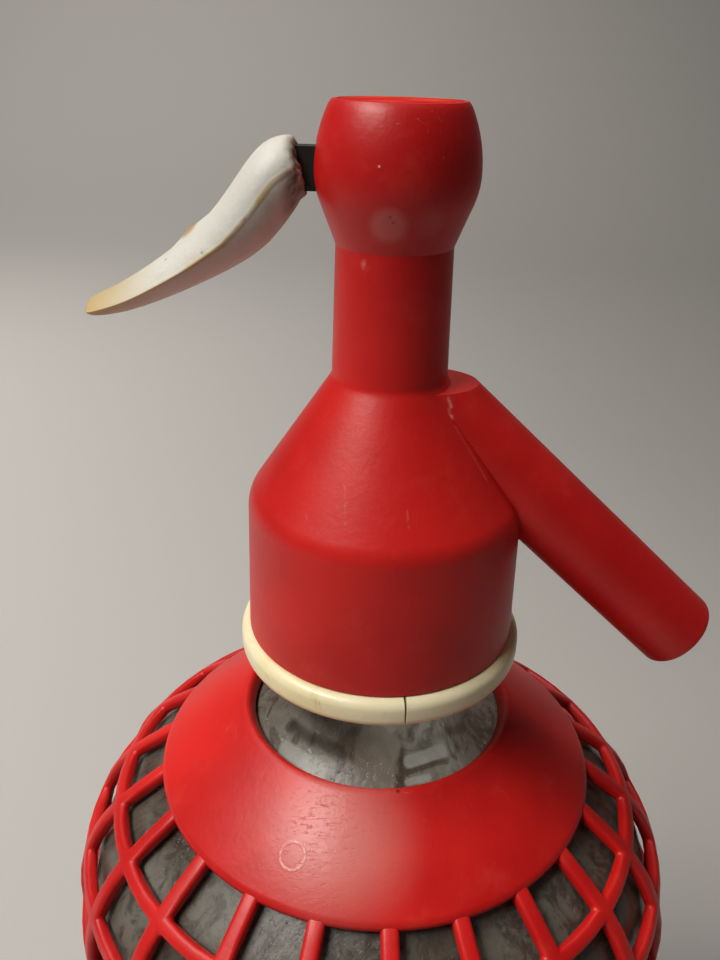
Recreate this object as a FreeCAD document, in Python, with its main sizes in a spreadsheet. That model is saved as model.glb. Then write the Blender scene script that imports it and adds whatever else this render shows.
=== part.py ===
import FreeCAD, Part
import Sketcher
import os
import re

# Soda siphon: a glass bottle in a moulded basket, with a screwed-on head, a spout and a lever.
# Millimetres, +Z up. The origin is the centre of the face that the siphon stands on.
# The spout points to +X and the lever to -X.

doc = FreeCAD.newDocument("soda_siphon")
sheet = doc.addObject("Spreadsheet::Sheet", "Sizes")

# The basket's wall, its shoulder and its mesh
BASKET = {
    "body_radius": 55.1, "shoulder_height": 160.0, "shoulder_radius": 28.0, "cone_slope": 37.5,
    "basket_wall": 2.4, "collar_proud": 0.3, "collar_inset": 5.545, "collar_hole": 22.8,
    "rib_count": 22, "rib_width": 2.8, "rib_turn": -3.2,
    "ring_pitch": 12.4, "ring_first": 22.0, "ring_wire": 1.05, "ring_depth": 1.25,
    "band_bottom": 9.7, "band_height": 12.3,
}
# The cup under the basket, and the pad in it
CUP = {
    "cup_floor": 1.4, "cup_lift": 1.0, "cup_wall": 2.7, "cup_corner": 5.0, "foot_width": 6.4,
    "spigot_wall": 1.0, "spigot_rise": 2.0, "pad_thick": 1.6, "pad_inset": 2.0, "pad_width": 6.0,
}
# The bottle
GLASS = {
    "glass_gap": 0.5, "glass_wall": 4.0, "heel_radius": 13.0, "foot_land": 5.2,
    "punt_rise": 6.0, "floor_thick": 6.5, "neck_radius": 15.2, "neck_fillet": 12.0,
    "neck_straight": 19.313, "neck_wall": 4.6, "mouth_fillet": 16.0, "bead_proud": 2.0,
    "bead_drop": 10.0, "bead_round": 1.5,
}
# The split ring that holds the head to the bottle's bead
RING = {
    "ring_proud": 1.4, "ring_foot": 4.8, "ring_slit": 0.4, "ring_azimuth": 11.0,
    "ring_gap": 0.3, "ring_round": 1.6, "thread_depth": 0.7, "thread_land": 1.5,
    "thread_wall": 1.0,
}
# The head, from its skirt up to the plug in the ball's top
HEAD = {
    "skirt_drop": 10.5, "skirt_draft": 0.4, "skirt_wall": 2.0, "edge_rise": 12.8,
    "edge_round": 6.0, "cone_height": 19.5, "neck_foot": 8.6, "neck_taper": 0.32,
    "neck_length": 19.0, "flare_out": 2.02, "flare_height": 5.1, "ball_bulge": 1.0,
    "ball_lower": 4.6, "ball_upper": 8.8, "ball_under_radius": 11.1, "ball_over_radius": 18.7,
    "rim_in": 2.2, "rim_wall": 0.8, "seat_room": 7.1, "seat_height": 8.5, "shell_wall": 2.68,
    "cap_step": 0.7, "cap_thick": 2.6, "cap_dome": 0.12, "well_drop": 6.45, "fit": 0.1,
}
# The spout
SPOUT = {
    "spout_radius": 6.7, "spout_slope": 42.5, "spout_above": 2.3, "spout_length": 68.0,
    "spout_bore": 2.6, "spout_wall": 2.0, "nozzle_length": 16.0, "nozzle_recess": 0.6,
    "shelf_below": 0.8, "spout_round": 0.9,
}
# The seals, the dip tube and its socket
INSIDE = {
    "gasket_thick": 2.0, "flange_inset": 0.4, "flange_thick": 2.5, "washer_thick": 1.0,
    "tube_radius": 4.0, "tube_wall": 1.3, "tube_lift": 4.0, "tube_grip": 12.0, "hub_wall": 2.4,
    "seat_lip": 1.0, "seat_lip_radius": 3.6, "seal_radius": 4.2, "seal_thick": 2.2,
    "packing_above": 1.2, "packing_thick": 3.0, "gland_thick": 4.0,
}
# The valve stem and its spring
STEM = {
    "stem_radius": 1.6, "stem_fit": 0.06, "foot_radius": 4.8, "foot_thick": 2.0,
    "shoulder_gap": 0.1, "shoulder_thick": 0.6, "shoulder_ring": 2.4, "disc_radius": 4.4,
    "disc_thick": 1.0, "eye_radius": 3.2, "eye_drop": 3.8, "eye_height": 7.2, "eye_room_up": 1.32,
    "eye_room_down": 2.1, "spring_radius": 3.6, "spring_wire": 0.4, "spring_turns": 6,
    "spring_gap": 0.1,
}
# The lever's carrier, its pin and its arm
LEVER = {
    "pin_inset": 1.6, "pivot_above": 0.05, "pin_radius": 0.98, "pin_play": 0.05, "pin_hold": 0.02,
    "carrier_floor": 1.5, "eye_side": 0.3, "slot_side": 0.35,
    "slot_down": 4.8, "slot_up": 3.4, "arm_thick": 3.0, "arm_half": 2.85, "arm_boss": 2.5,
    "arm_taper": 3.5, "arm_tail": 10.0, "arm_bar": 0.95, "arm_nose": 1.2, "arm_pocket": 0.05,
}
# The grip's sections, from the ball to the tip: how far out, how far below the pivot,
# how tall, how wide, and how far the section leans back from upright
GRIP = {
    "root": (13.3, -0.6, 7.7, 8.6, 15.0),
    "hump": (16.3, 1.4, 10.7, 10.6, 20.0),
    "back": (19.3, 5.3, 10.2, 11.6, 24.0),
    "waist": (23.1, 9.6, 7.9, 11.4, 38.0),
    "middle": (29.4, 13.8, 6.1, 11.0, 37.0),
    "thumb": (37.5, 18.2, 4.4, 10.2, 30.0),
    "tip": (43.9, 20.0, 2.7, 8.2, 16.0),
}
GRIP_SIZES = ("out", "down", "tall", "wide", "lean")


def on_shoulder(depth, angle):
    """A point at a depth under the basket's outside, at an angle up the shoulder's arc."""
    across = f"body_radius - shoulder_radius + (shoulder_radius - {depth}) * cos({angle} * 1 deg)"
    up = f"shoulder_height + (shoulder_radius - {depth}) * sin({angle} * 1 deg)"
    return across, up


def on_cone(depth, radius):
    """A point at a depth under the basket's outside, on the cone, at a radius."""
    across, up = on_shoulder(depth, "(90 - cone_slope)")
    return f"{radius}", f"{up} + ({across} - ({radius})) * tan(cone_slope * 1 deg)"


# How deep the bottle's two faces lie under the basket's outside, and where its neck turns upright
GLASS_DEPTH = "(basket_wall + glass_gap)"
INNER_DEPTH = f"({GLASS_DEPTH} + glass_wall)"
TURN_HALF = "tan((90 - cone_slope) / 2 * 1 deg)"
neck_end = f"{on_cone(GLASS_DEPTH, 'neck_radius')[1]} + neck_fillet * {TURN_HALF}"

# The sizes that follow from those above: radii, heights, and rises above the bottle's lip
FOLLOWING = {
    "collar_edge": f"{on_shoulder('0', '(90 - cone_slope)')[0]} - collar_inset",
    "band_top": "band_bottom + band_height",
    "foot_inner": "body_radius + collar_proud - cup_corner - foot_width",
    "punt_radius": f"body_radius - {GLASS_DEPTH} - heel_radius - foot_land",
    "pad_inner": "punt_radius + pad_inset",
    "pad_outer": "pad_inner + pad_width",
    "lip_height": f"{neck_end} + neck_straight",
    "mouth_radius": "neck_radius - neck_wall",
    "bead_radius": "neck_radius + bead_proud",
    "skirt_top_radius": "bead_radius + 2 * ring_gap + thread_wall + thread_depth + skirt_wall",
    "skirt_radius": "skirt_top_radius + skirt_draft",
    "ring_radius": "skirt_radius + ring_proud",
    "neck_foot_rise": "edge_rise + cone_height",
    "neck_top": "neck_foot - neck_taper",
    "neck_top_rise": "neck_foot_rise + neck_length",
    "ball_foot": "neck_top + flare_out",
    "ball_foot_rise": "neck_top_rise + flare_height",
    "ball_radius": "ball_foot + ball_bulge",
    "ball_rise": "ball_foot_rise + ball_lower",
    "rim_radius": "ball_radius - rim_in",
    "rim_rise": "ball_rise + ball_upper",
    "cap_room": "rim_radius - rim_wall",
    "well_radius": "cap_room - cap_step",
    "bore_radius": "neck_top - shell_wall",
    "chamber_rise": "gasket_thick + flange_thick + washer_thick + seat_height",
    "spout_rise": "neck_foot_rise + spout_above",
    "shelf_rise": "neck_foot_rise - shelf_below",
    "nozzle_radius": "spout_radius - spout_wall",
    "flange_radius": "bead_radius - flange_inset",
    "tube_bore": "tube_radius - tube_wall",
    "packing_rise": "neck_foot_rise + packing_above",
    "shoulder_rise": "packing_rise + packing_thick + gland_thick + shoulder_gap",
    "pivot_out": "well_radius - pin_inset",
    "pivot_rise": "ball_rise + pivot_above",
    "well_rise": "pivot_rise - well_drop",
    "carrier_bore": "eye_radius + eye_side",
    "arm_taper_out": "pivot_out + arm_taper",
    "arm_end_out": "pivot_out + arm_tail",
}

driving = {}
for group in (BASKET, CUP, GLASS, RING, HEAD, SPOUT, INSIDE, STEM, LEVER):
    driving.update(group)
for station, numbers in GRIP.items():
    for word, number in zip(GRIP_SIZES, numbers):
        driving[f"grip_{station}_{word}"] = number
for alias, formula in FOLLOWING.items():
    driving[alias] = f"={formula}"
for row, alias in enumerate(driving, start=1):
    sheet.set(f"A{row}", alias)
    sheet.setAlias(f"B{row}", alias)
for row, content in enumerate(driving.values(), start=1):
    sheet.set(f"B{row}", str(content))
doc.recompute()


def bound(expression):
    """Write an expression with each size's name pointing at the sheet."""
    def look_up(word):
        return f"Sizes.{word.group()}" if word.group() in driving else word.group()
    return re.sub(r"[a-z_]+", look_up, expression)


def value(expression):
    """Work an expression out, to draw a sketch close to where its sizes will hold it."""
    return float(sheet.evalExpression(bound(expression)))


def new_body(label):
    """Start a sub-part."""
    body = doc.addObject("PartDesign::Body", label)
    body.Label = label
    return body


def new_sketch(body, plane, name):
    """Put a sketch on one of the body's own origin planes."""
    support = next(f for f in body.Origin.OriginFeatures if f.Role == plane)
    sketch = body.newObject("Sketcher::SketchObject", name)
    sketch.AttachmentSupport = [(support, "")]
    sketch.MapMode = "FlatFace"
    return sketch


def hold_point(sketch, side, end, across, up):
    """Tie one end of a side to its two sizes."""
    for kind, expression in (("DistanceX", across), ("DistanceY", up)):
        index = sketch.addConstraint(
            Sketcher.Constraint(kind, -1, 1, side, end, value(expression)))
        sketch.setExpression(f"Constraints[{index}]", bound(expression))


def arc_between(start, end, radius, bulge):
    """An arc from start to end that bulges left (1) or right (-1) of the way there."""
    chord = end - start
    middle = (start + end) * 0.5
    left = FreeCAD.Vector(-chord.y, chord.x, 0).normalize()
    sagitta = radius - max(radius ** 2 - (chord.Length / 2) ** 2, 0.0) ** 0.5
    return Part.Arc(start, middle + left * (bulge * sagitta), end)


def outline(sketch, corners, arcs=None):
    """Draw a closed outline. arcs gives (radius, bulge) for each side that is an arc."""
    arcs = arcs or {}
    first = sketch.GeometryCount
    count = len(corners)
    places = [FreeCAD.Vector(value(across), value(up), 0) for across, up in corners]
    ends = []
    for side in range(count):
        start, end = places[side], places[(side + 1) % count]
        if side in arcs:
            radius, bulge = arcs[side]
            sketch.addGeometry(arc_between(start, end, value(radius), bulge))
            ends.append((1, 2) if bulge < 0 else (2, 1))
        else:
            sketch.addGeometry(Part.LineSegment(start, end))
            ends.append((1, 2))
    for side in range(count):
        following = (side + 1) % count
        sketch.addConstraint(Sketcher.Constraint(
            "Coincident", first + side, ends[side][1], first + following, ends[following][0]))
    for side, (across, up) in enumerate(corners):
        hold_point(sketch, first + side, ends[side][0], across, up)
    for side, (radius, bulge) in arcs.items():
        index = sketch.addConstraint(Sketcher.Constraint("Radius", first + side, value(radius)))
        sketch.setExpression(f"Constraints[{index}]", bound(radius))


def circle(sketch, across, up, radius):
    """Draw a circle whose centre and radius are held by sizes."""
    side = sketch.GeometryCount
    centre = FreeCAD.Vector(value(across), value(up), 0)
    sketch.addGeometry(Part.Circle(centre, FreeCAD.Vector(0, 0, 1), value(radius)))
    hold_point(sketch, side, 3, across, up)
    index = sketch.addConstraint(Sketcher.Constraint("Radius", side, value(radius)))
    sketch.setExpression(f"Constraints[{index}]", bound(radius))


def turn(body, kind, sketch, name, angle=None, axis="V_Axis"):
    """Spin a sketch about the upright axis, or about its own axis line."""
    feature = body.newObject(f"PartDesign::{kind}", name)
    feature.Profile = sketch
    feature.ReferenceAxis = (sketch, [axis])
    feature.Angle = 360.0
    if angle:
        feature.setExpression("Angle", bound(angle))
    return feature


def extrude(body, kind, sketch, name, length, both_ways=True, reverse=False):
    """Pad or pocket a sketch by a size."""
    feature = body.newObject(f"PartDesign::{kind}", name)
    feature.Profile = sketch
    feature.setExpression("Length", bound(length))
    if both_ways:
        feature.SideType = "Symmetric"
    feature.Reversed = reverse
    return feature


def turned(label, corners, arcs=None):
    """A sub-part that is turned about the upright axis."""
    body = new_body(label)
    sketch = new_sketch(body, "XZ_Plane", f"{label}_outline")
    outline(sketch, corners, arcs)
    turn(body, "Revolution", sketch, f"{label}_turned")
    return body


def rise(height):
    """A height above the bottle's lip."""
    return f"lip_height + {height}"


def along_spout(distance, aside):
    """A point at a distance down the spout's axis and aside from it, upwards."""
    across = f"({distance}) * cos(spout_slope * 1 deg) + ({aside}) * sin(spout_slope * 1 deg)"
    up = (f"lip_height + spout_rise - ({distance}) * sin(spout_slope * 1 deg)"
          f" + ({aside}) * cos(spout_slope * 1 deg)")
    return across, up


def turned_on_spout(body, kind, name, corners, arcs=None):
    """Spin an outline about the spout's axis."""
    sketch = new_sketch(body, "XZ_Plane", f"{name}_outline")
    outline(sketch, corners, arcs)
    axis = sketch.GeometryCount
    start, end = along_spout("0", "0"), along_spout("spout_length", "0")
    sketch.addGeometry(Part.LineSegment(
        FreeCAD.Vector(value(start[0]), value(start[1]), 0),
        FreeCAD.Vector(value(end[0]), value(end[1]), 0)), True)
    hold_point(sketch, axis, 1, *start)
    hold_point(sketch, axis, 2, *end)
    return turn(body, kind, sketch, name, axis="Axis0")


# The bottle: thick blown glass with a pushed-up base, a sloping shoulder and a bead at its mouth
glass_radius = f"(body_radius - {GLASS_DEPTH})"
inner_radius = f"(body_radius - {INNER_DEPTH})"
glass_base = "(cup_lift + cup_floor + pad_thick)"
neck_cone = on_cone(GLASS_DEPTH, f"neck_radius + neck_fillet * {TURN_HALF} * cos(cone_slope * 1 deg)")
mouth_cone = on_cone(
    INNER_DEPTH, f"mouth_radius + mouth_fillet * {TURN_HALF} * cos(cone_slope * 1 deg)")
mouth_end = f"{on_cone(INNER_DEPTH, 'mouth_radius')[1]} + mouth_fillet * {TURN_HALF}"
inner_heel = "(heel_radius - glass_wall)"
inner_floor = f"({glass_base} + floor_thick)"
glass_bottle = turned("glass_bottle", [
    ("0", f"{glass_base} + punt_rise"),
    ("punt_radius", glass_base),
    (f"{glass_radius} - heel_radius", glass_base),
    (glass_radius, f"{glass_base} + heel_radius"),
    (glass_radius, "shoulder_height"),
    on_shoulder(GLASS_DEPTH, "(90 - cone_slope)"),
    neck_cone,
    ("neck_radius", neck_end),
    ("neck_radius", "lip_height - bead_drop"),
    ("bead_radius", "lip_height - bead_drop + bead_radius - neck_radius"),
    ("bead_radius", "lip_height - bead_round"),
    ("bead_radius - bead_round", "lip_height"),
    ("mouth_radius", "lip_height"),
    ("mouth_radius", mouth_end),
    mouth_cone,
    on_shoulder(INNER_DEPTH, "(90 - cone_slope)"),
    (inner_radius, "shoulder_height"),
    (inner_radius, f"{inner_floor} + {inner_heel}"),
    (f"{inner_radius} - {inner_heel}", inner_floor),
    ("punt_radius", inner_floor),
    ("0", f"{inner_floor} + punt_rise"),
], {
    2: ("heel_radius", -1),
    4: (f"(shoulder_radius - {GLASS_DEPTH})", -1),
    6: ("neck_fillet", 1),
    10: ("bead_round", -1),
    13: ("mouth_fillet", -1),
    15: (f"(shoulder_radius - {INNER_DEPTH})", 1),
    17: (inner_heel, 1),
})

# The basket: one moulding, with a smooth collar, upright ribs, level rings and a band at the foot
mesh_basket = new_body("mesh_basket")
collar_sketch = new_sketch(mesh_basket, "XZ_Plane", "collar_outline")
collar_inside = "(basket_wall + 0.5 * glass_gap)"
outline(collar_sketch, [
    on_cone("-1 * collar_proud", "collar_hole"),
    on_cone("-1 * collar_proud", "collar_edge"),
    on_cone(collar_inside, "collar_edge - collar_proud"),
    on_cone(collar_inside, "collar_hole"),
])
turn(mesh_basket, "Revolution", collar_sketch, "collar")
rib_sketch = new_sketch(mesh_basket, "XZ_Plane", "rib_outline")
outline(rib_sketch, [
    on_cone("0", "collar_edge - rib_width"),
    on_shoulder("0", "(90 - cone_slope)"),
    ("body_radius", "shoulder_height"),
    ("body_radius", "band_top - rib_width"),
    ("body_radius - basket_wall", "band_top - rib_width"),
    ("body_radius - basket_wall", "shoulder_height"),
    on_shoulder("basket_wall", "(90 - cone_slope)"),
    on_cone("basket_wall", "collar_edge - rib_width"),
], {1: ("shoulder_radius", 1), 5: ("(shoulder_radius - basket_wall)", -1)})
rib = extrude(mesh_basket, "Pad", rib_sketch, "rib", "rib_width")
ribs = mesh_basket.newObject("PartDesign::PolarPattern", "ribs")
ribs.Originals = [rib]
ribs.Axis = (rib_sketch, ["V_Axis"])
ribs.Angle = 360.0
ribs.setExpression("Occurrences", bound("rib_count"))
mesh_basket.Tip = ribs
ring_sketch = new_sketch(mesh_basket, "XZ_Plane", "ring_outlines")
step = 0
while value(f"shoulder_height + ring_first - {step} * ring_pitch - 2 * ring_wire - band_top") > 0:
    travel = f"(ring_first - {step} * ring_pitch)"
    if value(travel) > 0:
        place = on_shoulder("ring_depth", f"({travel} / shoulder_radius * 180 / pi)")
    else:
        place = ("body_radius - ring_depth", f"shoulder_height + {travel}")
    circle(ring_sketch, *place, "ring_wire")
    step += 1
band_inside = "(body_radius - basket_wall - 0.5 * glass_gap)"
outline(ring_sketch, [
    (band_inside, "band_bottom"),
    ("body_radius + collar_proud", "band_bottom"),
    ("body_radius + collar_proud", "band_top"),
    (band_inside, "band_top"),
])
turn(mesh_basket, "Revolution", ring_sketch, "rings")
mesh_basket.Placement.Rotation = FreeCAD.Rotation(FreeCAD.Vector(0, 0, 1), value("rib_turn"))

# The cup that closes the basket from below: a floor on a foot, and a spigot inside the band
cup_outside = "(body_radius + collar_proud)"
spigot_outside = f"({band_inside} - fit)"
base_cup = turned("base_cup", [
    ("0", "cup_lift"),
    ("foot_inner - cup_lift", "cup_lift"),
    ("foot_inner", "0"),
    (f"{cup_outside} - cup_corner", "0"),
    (cup_outside, "cup_corner"),
    (cup_outside, "band_bottom"),
    (spigot_outside, "band_bottom"),
    (spigot_outside, "band_bottom + spigot_rise"),
    (f"{spigot_outside} - spigot_wall", "band_bottom + spigot_rise"),
    (f"{spigot_outside} - spigot_wall", "cup_corner + cup_floor"),
    (f"{cup_outside} - cup_wall - cup_corner", "cup_lift + cup_floor"),
    ("0", "cup_lift + cup_floor"),
], {3: ("cup_corner", -1)})

# The pad that the bottle stands on
base_pad = turned("base_pad", [
    ("pad_inner", "cup_lift + cup_floor"),
    ("pad_outer", "cup_lift + cup_floor"),
    ("pad_outer", glass_base),
    ("pad_inner", glass_base),
])

# The split ring: two halves round the bottle's neck, under its bead, threaded into the head
ring_bottom = "(lip_height - skirt_drop - ring_foot)"
ring_top = "(lip_height - 2 * ring_gap)"
ring_body = "(skirt_top_radius - skirt_wall - ring_gap)"
thread_root = f"({ring_body} - thread_depth)"
ring_neck = "(neck_radius + ring_gap)"
ring_bead = "(bead_radius + ring_gap)"
bead_seat = "(lip_height - bead_drop - ring_gap)"
skirt_bottom = "(lip_height - skirt_drop)"


def ring_half(label, turn_by):
    """One half of the split ring, turned to its place round the neck."""
    body = new_body(label)
    sketch = new_sketch(body, "XZ_Plane", f"{label}_outline")
    corners = [
        (ring_neck, ring_bottom),
        ("ring_radius - ring_round", ring_bottom),
        ("ring_radius", f"{ring_bottom} + ring_round"),
        ("ring_radius", f"{skirt_bottom} - ring_round"),
        ("ring_radius - ring_round", skirt_bottom),
        (thread_root, skirt_bottom),
    ]
    for tooth in range(2):
        foot = f"{skirt_bottom} + {2 * tooth + 1} * thread_land"
        corners += [
            (thread_root, foot),
            (ring_body, f"{foot} + thread_depth"),
            (ring_body, f"{foot} + thread_land"),
            (thread_root, f"{foot} + thread_land + thread_depth"),
        ]
    corners += [
        (thread_root, ring_top),
        (ring_bead, ring_top),
        (ring_bead, f"{bead_seat} + bead_radius - neck_radius"),
        (ring_neck, bead_seat),
    ]
    outline(sketch, corners, {1: ("ring_round", -1), 3: ("ring_round", -1)})
    half = turn(body, "Revolution", sketch, f"{label}_turned",
                "180 - ring_slit / ring_radius * 180 / pi")
    half.Midplane = True
    body.Placement.Rotation = FreeCAD.Rotation(FreeCAD.Vector(0, 0, 1), turn_by)
    return body


ring_half("split_ring_right", value("ring_azimuth"))
ring_half("split_ring_left", value("ring_azimuth + 180"))

# The head: one moulding with its skirt, cone, neck, ball and spout, bored through from top to foot
head_shell = new_body("head_shell")
turned_on_spout(head_shell, "Revolution", "spout", [
    along_spout("0", "0"),
    along_spout("0", "spout_radius"),
    along_spout("spout_length - spout_round", "spout_radius"),
    along_spout("spout_length", "spout_radius - spout_round"),
    along_spout("spout_length", "0"),
], {2: ("spout_round", 1)})
shelf_sketch = new_sketch(head_shell, "XZ_Plane", "shelf_outline")
outline(shelf_sketch, [
    ("-3 * spout_radius", rise("shelf_rise")),
    ("3 * spout_radius", rise("shelf_rise")),
    ("3 * spout_radius", rise("shelf_rise + 3 * spout_radius")),
    ("-3 * spout_radius", rise("shelf_rise + 3 * spout_radius")),
])
extrude(head_shell, "Pocket", shelf_sketch, "shelf", "4 * spout_radius")
head_sketch = new_sketch(head_shell, "XZ_Plane", "head_outline")
cone_run = "((neck_foot_rise - edge_rise) / (skirt_top_radius - neck_foot))"
cone_half = f"tan((90 - atan({cone_run}) / 1 deg) / 2 * 1 deg)"
edge_in = f"edge_round * {cone_half}"
outline(head_sketch, [
    ("0", skirt_bottom),
    ("skirt_radius", skirt_bottom),
    ("skirt_top_radius", rise(f"edge_rise - {edge_in}")),
    (f"skirt_top_radius - {edge_in} * cos(atan({cone_run}))",
     rise(f"edge_rise + {edge_in} * sin(atan({cone_run}))")),
    ("neck_foot", rise("neck_foot_rise")),
    ("neck_top", rise("neck_top_rise")),
    ("ball_foot", rise("ball_foot_rise")),
    ("ball_radius", rise("ball_rise")),
    ("rim_radius", rise("rim_rise")),
    ("0", rise("rim_rise")),
], {2: ("edge_round", -1), 6: ("ball_under_radius", -1), 7: ("ball_over_radius", -1)})
turn(head_shell, "Revolution", head_sketch, "head")
ceiling = rise("gasket_thick + flange_thick + washer_thick")
cap_seat = rise("rim_rise - cap_thick")
bore_sketch = new_sketch(head_shell, "XZ_Plane", "bore_outline")
outline(bore_sketch, [
    ("0", f"{skirt_bottom} - ring_foot"),
    ("skirt_top_radius - skirt_wall", f"{skirt_bottom} - ring_foot"),
    ("skirt_top_radius - skirt_wall", ceiling),
    ("seat_room", ceiling),
    ("seat_room", rise("chamber_rise")),
    ("bore_radius", rise("chamber_rise")),
    ("bore_radius", rise("well_rise")),
    ("well_radius", rise("well_rise")),
    ("well_radius", cap_seat),
    ("cap_room", cap_seat),
    ("cap_room", rise("rim_rise + cap_thick")),
    ("0", rise("rim_rise + cap_thick")),
])
turn(head_shell, "Groove", bore_sketch, "bore")
nozzle_start = "(spout_length - nozzle_length)"
turned_on_spout(head_shell, "Groove", "spout_way", [
    along_spout("spout_bore", "0"),
    along_spout("spout_bore", "spout_bore"),
    along_spout(nozzle_start, "spout_bore"),
    along_spout(nozzle_start, "nozzle_radius"),
    along_spout("spout_length + spout_round", "nozzle_radius"),
    along_spout("spout_length + spout_round", "0"),
])
slot_sketch = new_sketch(head_shell, "YZ_Plane", "slot_outline")
slot_half = "(0.5 * arm_thick + slot_side)"
slot_corners = [
    (f"-1 * {slot_half}", rise("pivot_rise - slot_down")),
    (slot_half, rise("pivot_rise - slot_down")),
    (slot_half, rise("pivot_rise + slot_up")),
    (f"-1 * {slot_half}", rise("pivot_rise + slot_up")),
]
outline(slot_sketch, slot_corners)
extrude(head_shell, "Pocket", slot_sketch, "slot", "ball_radius + pivot_out", False)

# The bush pressed into the spout's end
nozzle = new_body("nozzle_bush")
turned_on_spout(nozzle, "Revolution", "nozzle", [
    along_spout(f"{nozzle_start} + fit", "spout_bore"),
    along_spout(f"{nozzle_start} + fit", "nozzle_radius - fit"),
    along_spout("spout_length - nozzle_recess", "nozzle_radius - fit"),
    along_spout("spout_length - nozzle_recess", "spout_bore + 2 * nozzle_recess"),
    along_spout("spout_length - 3 * nozzle_recess", "spout_bore"),
])

# The plug that closes the ball's top, with a slightly domed face
cap_radius = "(cap_room - fit)"
turned("top_cap", [
    ("0", cap_seat),
    (cap_radius, cap_seat),
    (cap_radius, rise("rim_rise")),
    ("0", rise("rim_rise + cap_dome")),
], {2: (f"({cap_radius} ^ 2 + cap_dome ^ 2) / (2 * cap_dome)", -1)})

# The seals on the bottle's lip, and the flanged socket between them that holds the dip tube
turned("neck_gasket", [
    ("mouth_radius + fit", "lip_height"),
    ("flange_radius", "lip_height"),
    ("flange_radius", rise("gasket_thick")),
    ("mouth_radius + fit", rise("gasket_thick")),
])
hub_radius = "(tube_radius + hub_wall)"
turned("tube_socket", [
    ("tube_radius + 0.5 * fit", rise("gasket_thick - tube_grip")),
    (hub_radius, rise("gasket_thick - tube_grip")),
    (hub_radius, rise("gasket_thick")),
    ("flange_radius", rise("gasket_thick")),
    ("flange_radius", rise("gasket_thick + flange_thick")),
    ("tube_bore", rise("gasket_thick + flange_thick")),
    ("tube_bore", rise("gasket_thick + fit")),
    ("tube_radius + 0.5 * fit", rise("gasket_thick + fit")),
])
turned("seat_washer", [
    ("tube_bore + fit", rise("gasket_thick + flange_thick")),
    ("flange_radius", rise("gasket_thick + flange_thick")),
    ("flange_radius", ceiling),
    ("tube_bore + fit", ceiling),
])
turned("dip_tube", [
    ("tube_bore", f"{inner_floor} + punt_rise + tube_lift"),
    ("tube_radius", f"{inner_floor} + punt_rise + tube_lift"),
    ("tube_radius", rise("gasket_thick")),
    ("tube_bore", rise("gasket_thick")),
])

# The valve: a seat with a raised lip, a soft seal on the stem's foot, and the stem itself
seat_top = rise("chamber_rise + seat_lip")
seal_top = rise("chamber_rise + seat_lip + seal_thick")
foot_top = rise("chamber_rise + seat_lip + seal_thick + foot_thick")
turned("valve_seat", [
    ("tube_bore", ceiling),
    ("seat_room - fit", ceiling),
    ("seat_room - fit", rise("chamber_rise")),
    ("seat_lip_radius + seat_lip", rise("chamber_rise")),
    ("seat_lip_radius", seat_top),
    ("tube_bore", seat_top),
])
turned("valve_seal", [
    ("0", seat_top),
    ("seal_radius", seat_top),
    ("seal_radius", seal_top),
    ("0", seal_top),
])
eye_bottom = rise("pivot_rise - eye_drop")
valve_stem = turned("valve_stem", [
    ("0", seal_top),
    ("foot_radius", seal_top),
    ("foot_radius", foot_top),
    ("stem_radius", foot_top),
    ("stem_radius", rise("shoulder_rise")),
    ("shoulder_ring", rise("shoulder_rise")),
    ("shoulder_ring", rise("shoulder_rise + shoulder_thick")),
    ("stem_radius", rise("shoulder_rise + shoulder_thick")),
    ("stem_radius", eye_bottom),
    ("eye_radius", eye_bottom),
    ("eye_radius", f"{eye_bottom} + eye_height"),
    ("0", f"{eye_bottom} + eye_height"),
])
eye_sketch = new_sketch(valve_stem, "YZ_Plane", "eye_outline")
outline(eye_sketch, [
    (f"-1 * {slot_half}", rise("pivot_rise - eye_room_down")),
    (slot_half, rise("pivot_rise - eye_room_down")),
    (slot_half, rise("pivot_rise + eye_room_up")),
    (f"-1 * {slot_half}", rise("pivot_rise + eye_room_up")),
])
extrude(valve_stem, "Pocket", eye_sketch, "eye", "4 * eye_radius")

# The packing and its gland, which keep the drink out of the neck above
turned("packing_ring", [
    ("stem_radius + stem_fit", rise("packing_rise")),
    ("bore_radius - fit", rise("packing_rise")),
    ("bore_radius - fit", rise("packing_rise + packing_thick")),
    ("stem_radius + stem_fit", rise("packing_rise + packing_thick")),
])
turned("gland_bush", [
    ("stem_radius + stem_fit", rise("packing_rise + packing_thick")),
    ("bore_radius - fit", rise("packing_rise + packing_thick")),
    ("bore_radius - fit", rise("packing_rise + packing_thick + gland_thick")),
    ("stem_radius + stem_fit", rise("packing_rise + packing_thick + gland_thick")),
])

# The spring that shuts the valve, and the washer that it pushes on
disc_foot = "shoulder_rise + shoulder_thick"
turned("spring_washer", [
    ("stem_radius + stem_fit", rise(disc_foot)),
    ("disc_radius", rise(disc_foot)),
    ("disc_radius", rise(f"{disc_foot} + disc_thick")),
    ("stem_radius + stem_fit", rise(f"{disc_foot} + disc_thick")),
])
return_spring = new_body("return_spring")
wire_sketch = new_sketch(return_spring, "XZ_Plane", "wire_outline")
wire_foot = f"{disc_foot} + disc_thick + spring_wire + spring_gap"
circle(wire_sketch, "spring_radius", rise(wire_foot), "spring_wire")
coils = return_spring.newObject("PartDesign::AdditiveHelix", "coils")
coils.Profile = wire_sketch
coils.ReferenceAxis = (wire_sketch, ["V_Axis"])
coils.Mode = "height-turns-angle"
coil_height = f"(well_rise - spring_wire - spring_gap - ({wire_foot}))"
coils.setExpression("Height", bound(coil_height))
coils.setExpression("Turns", bound("spring_turns"))

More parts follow.
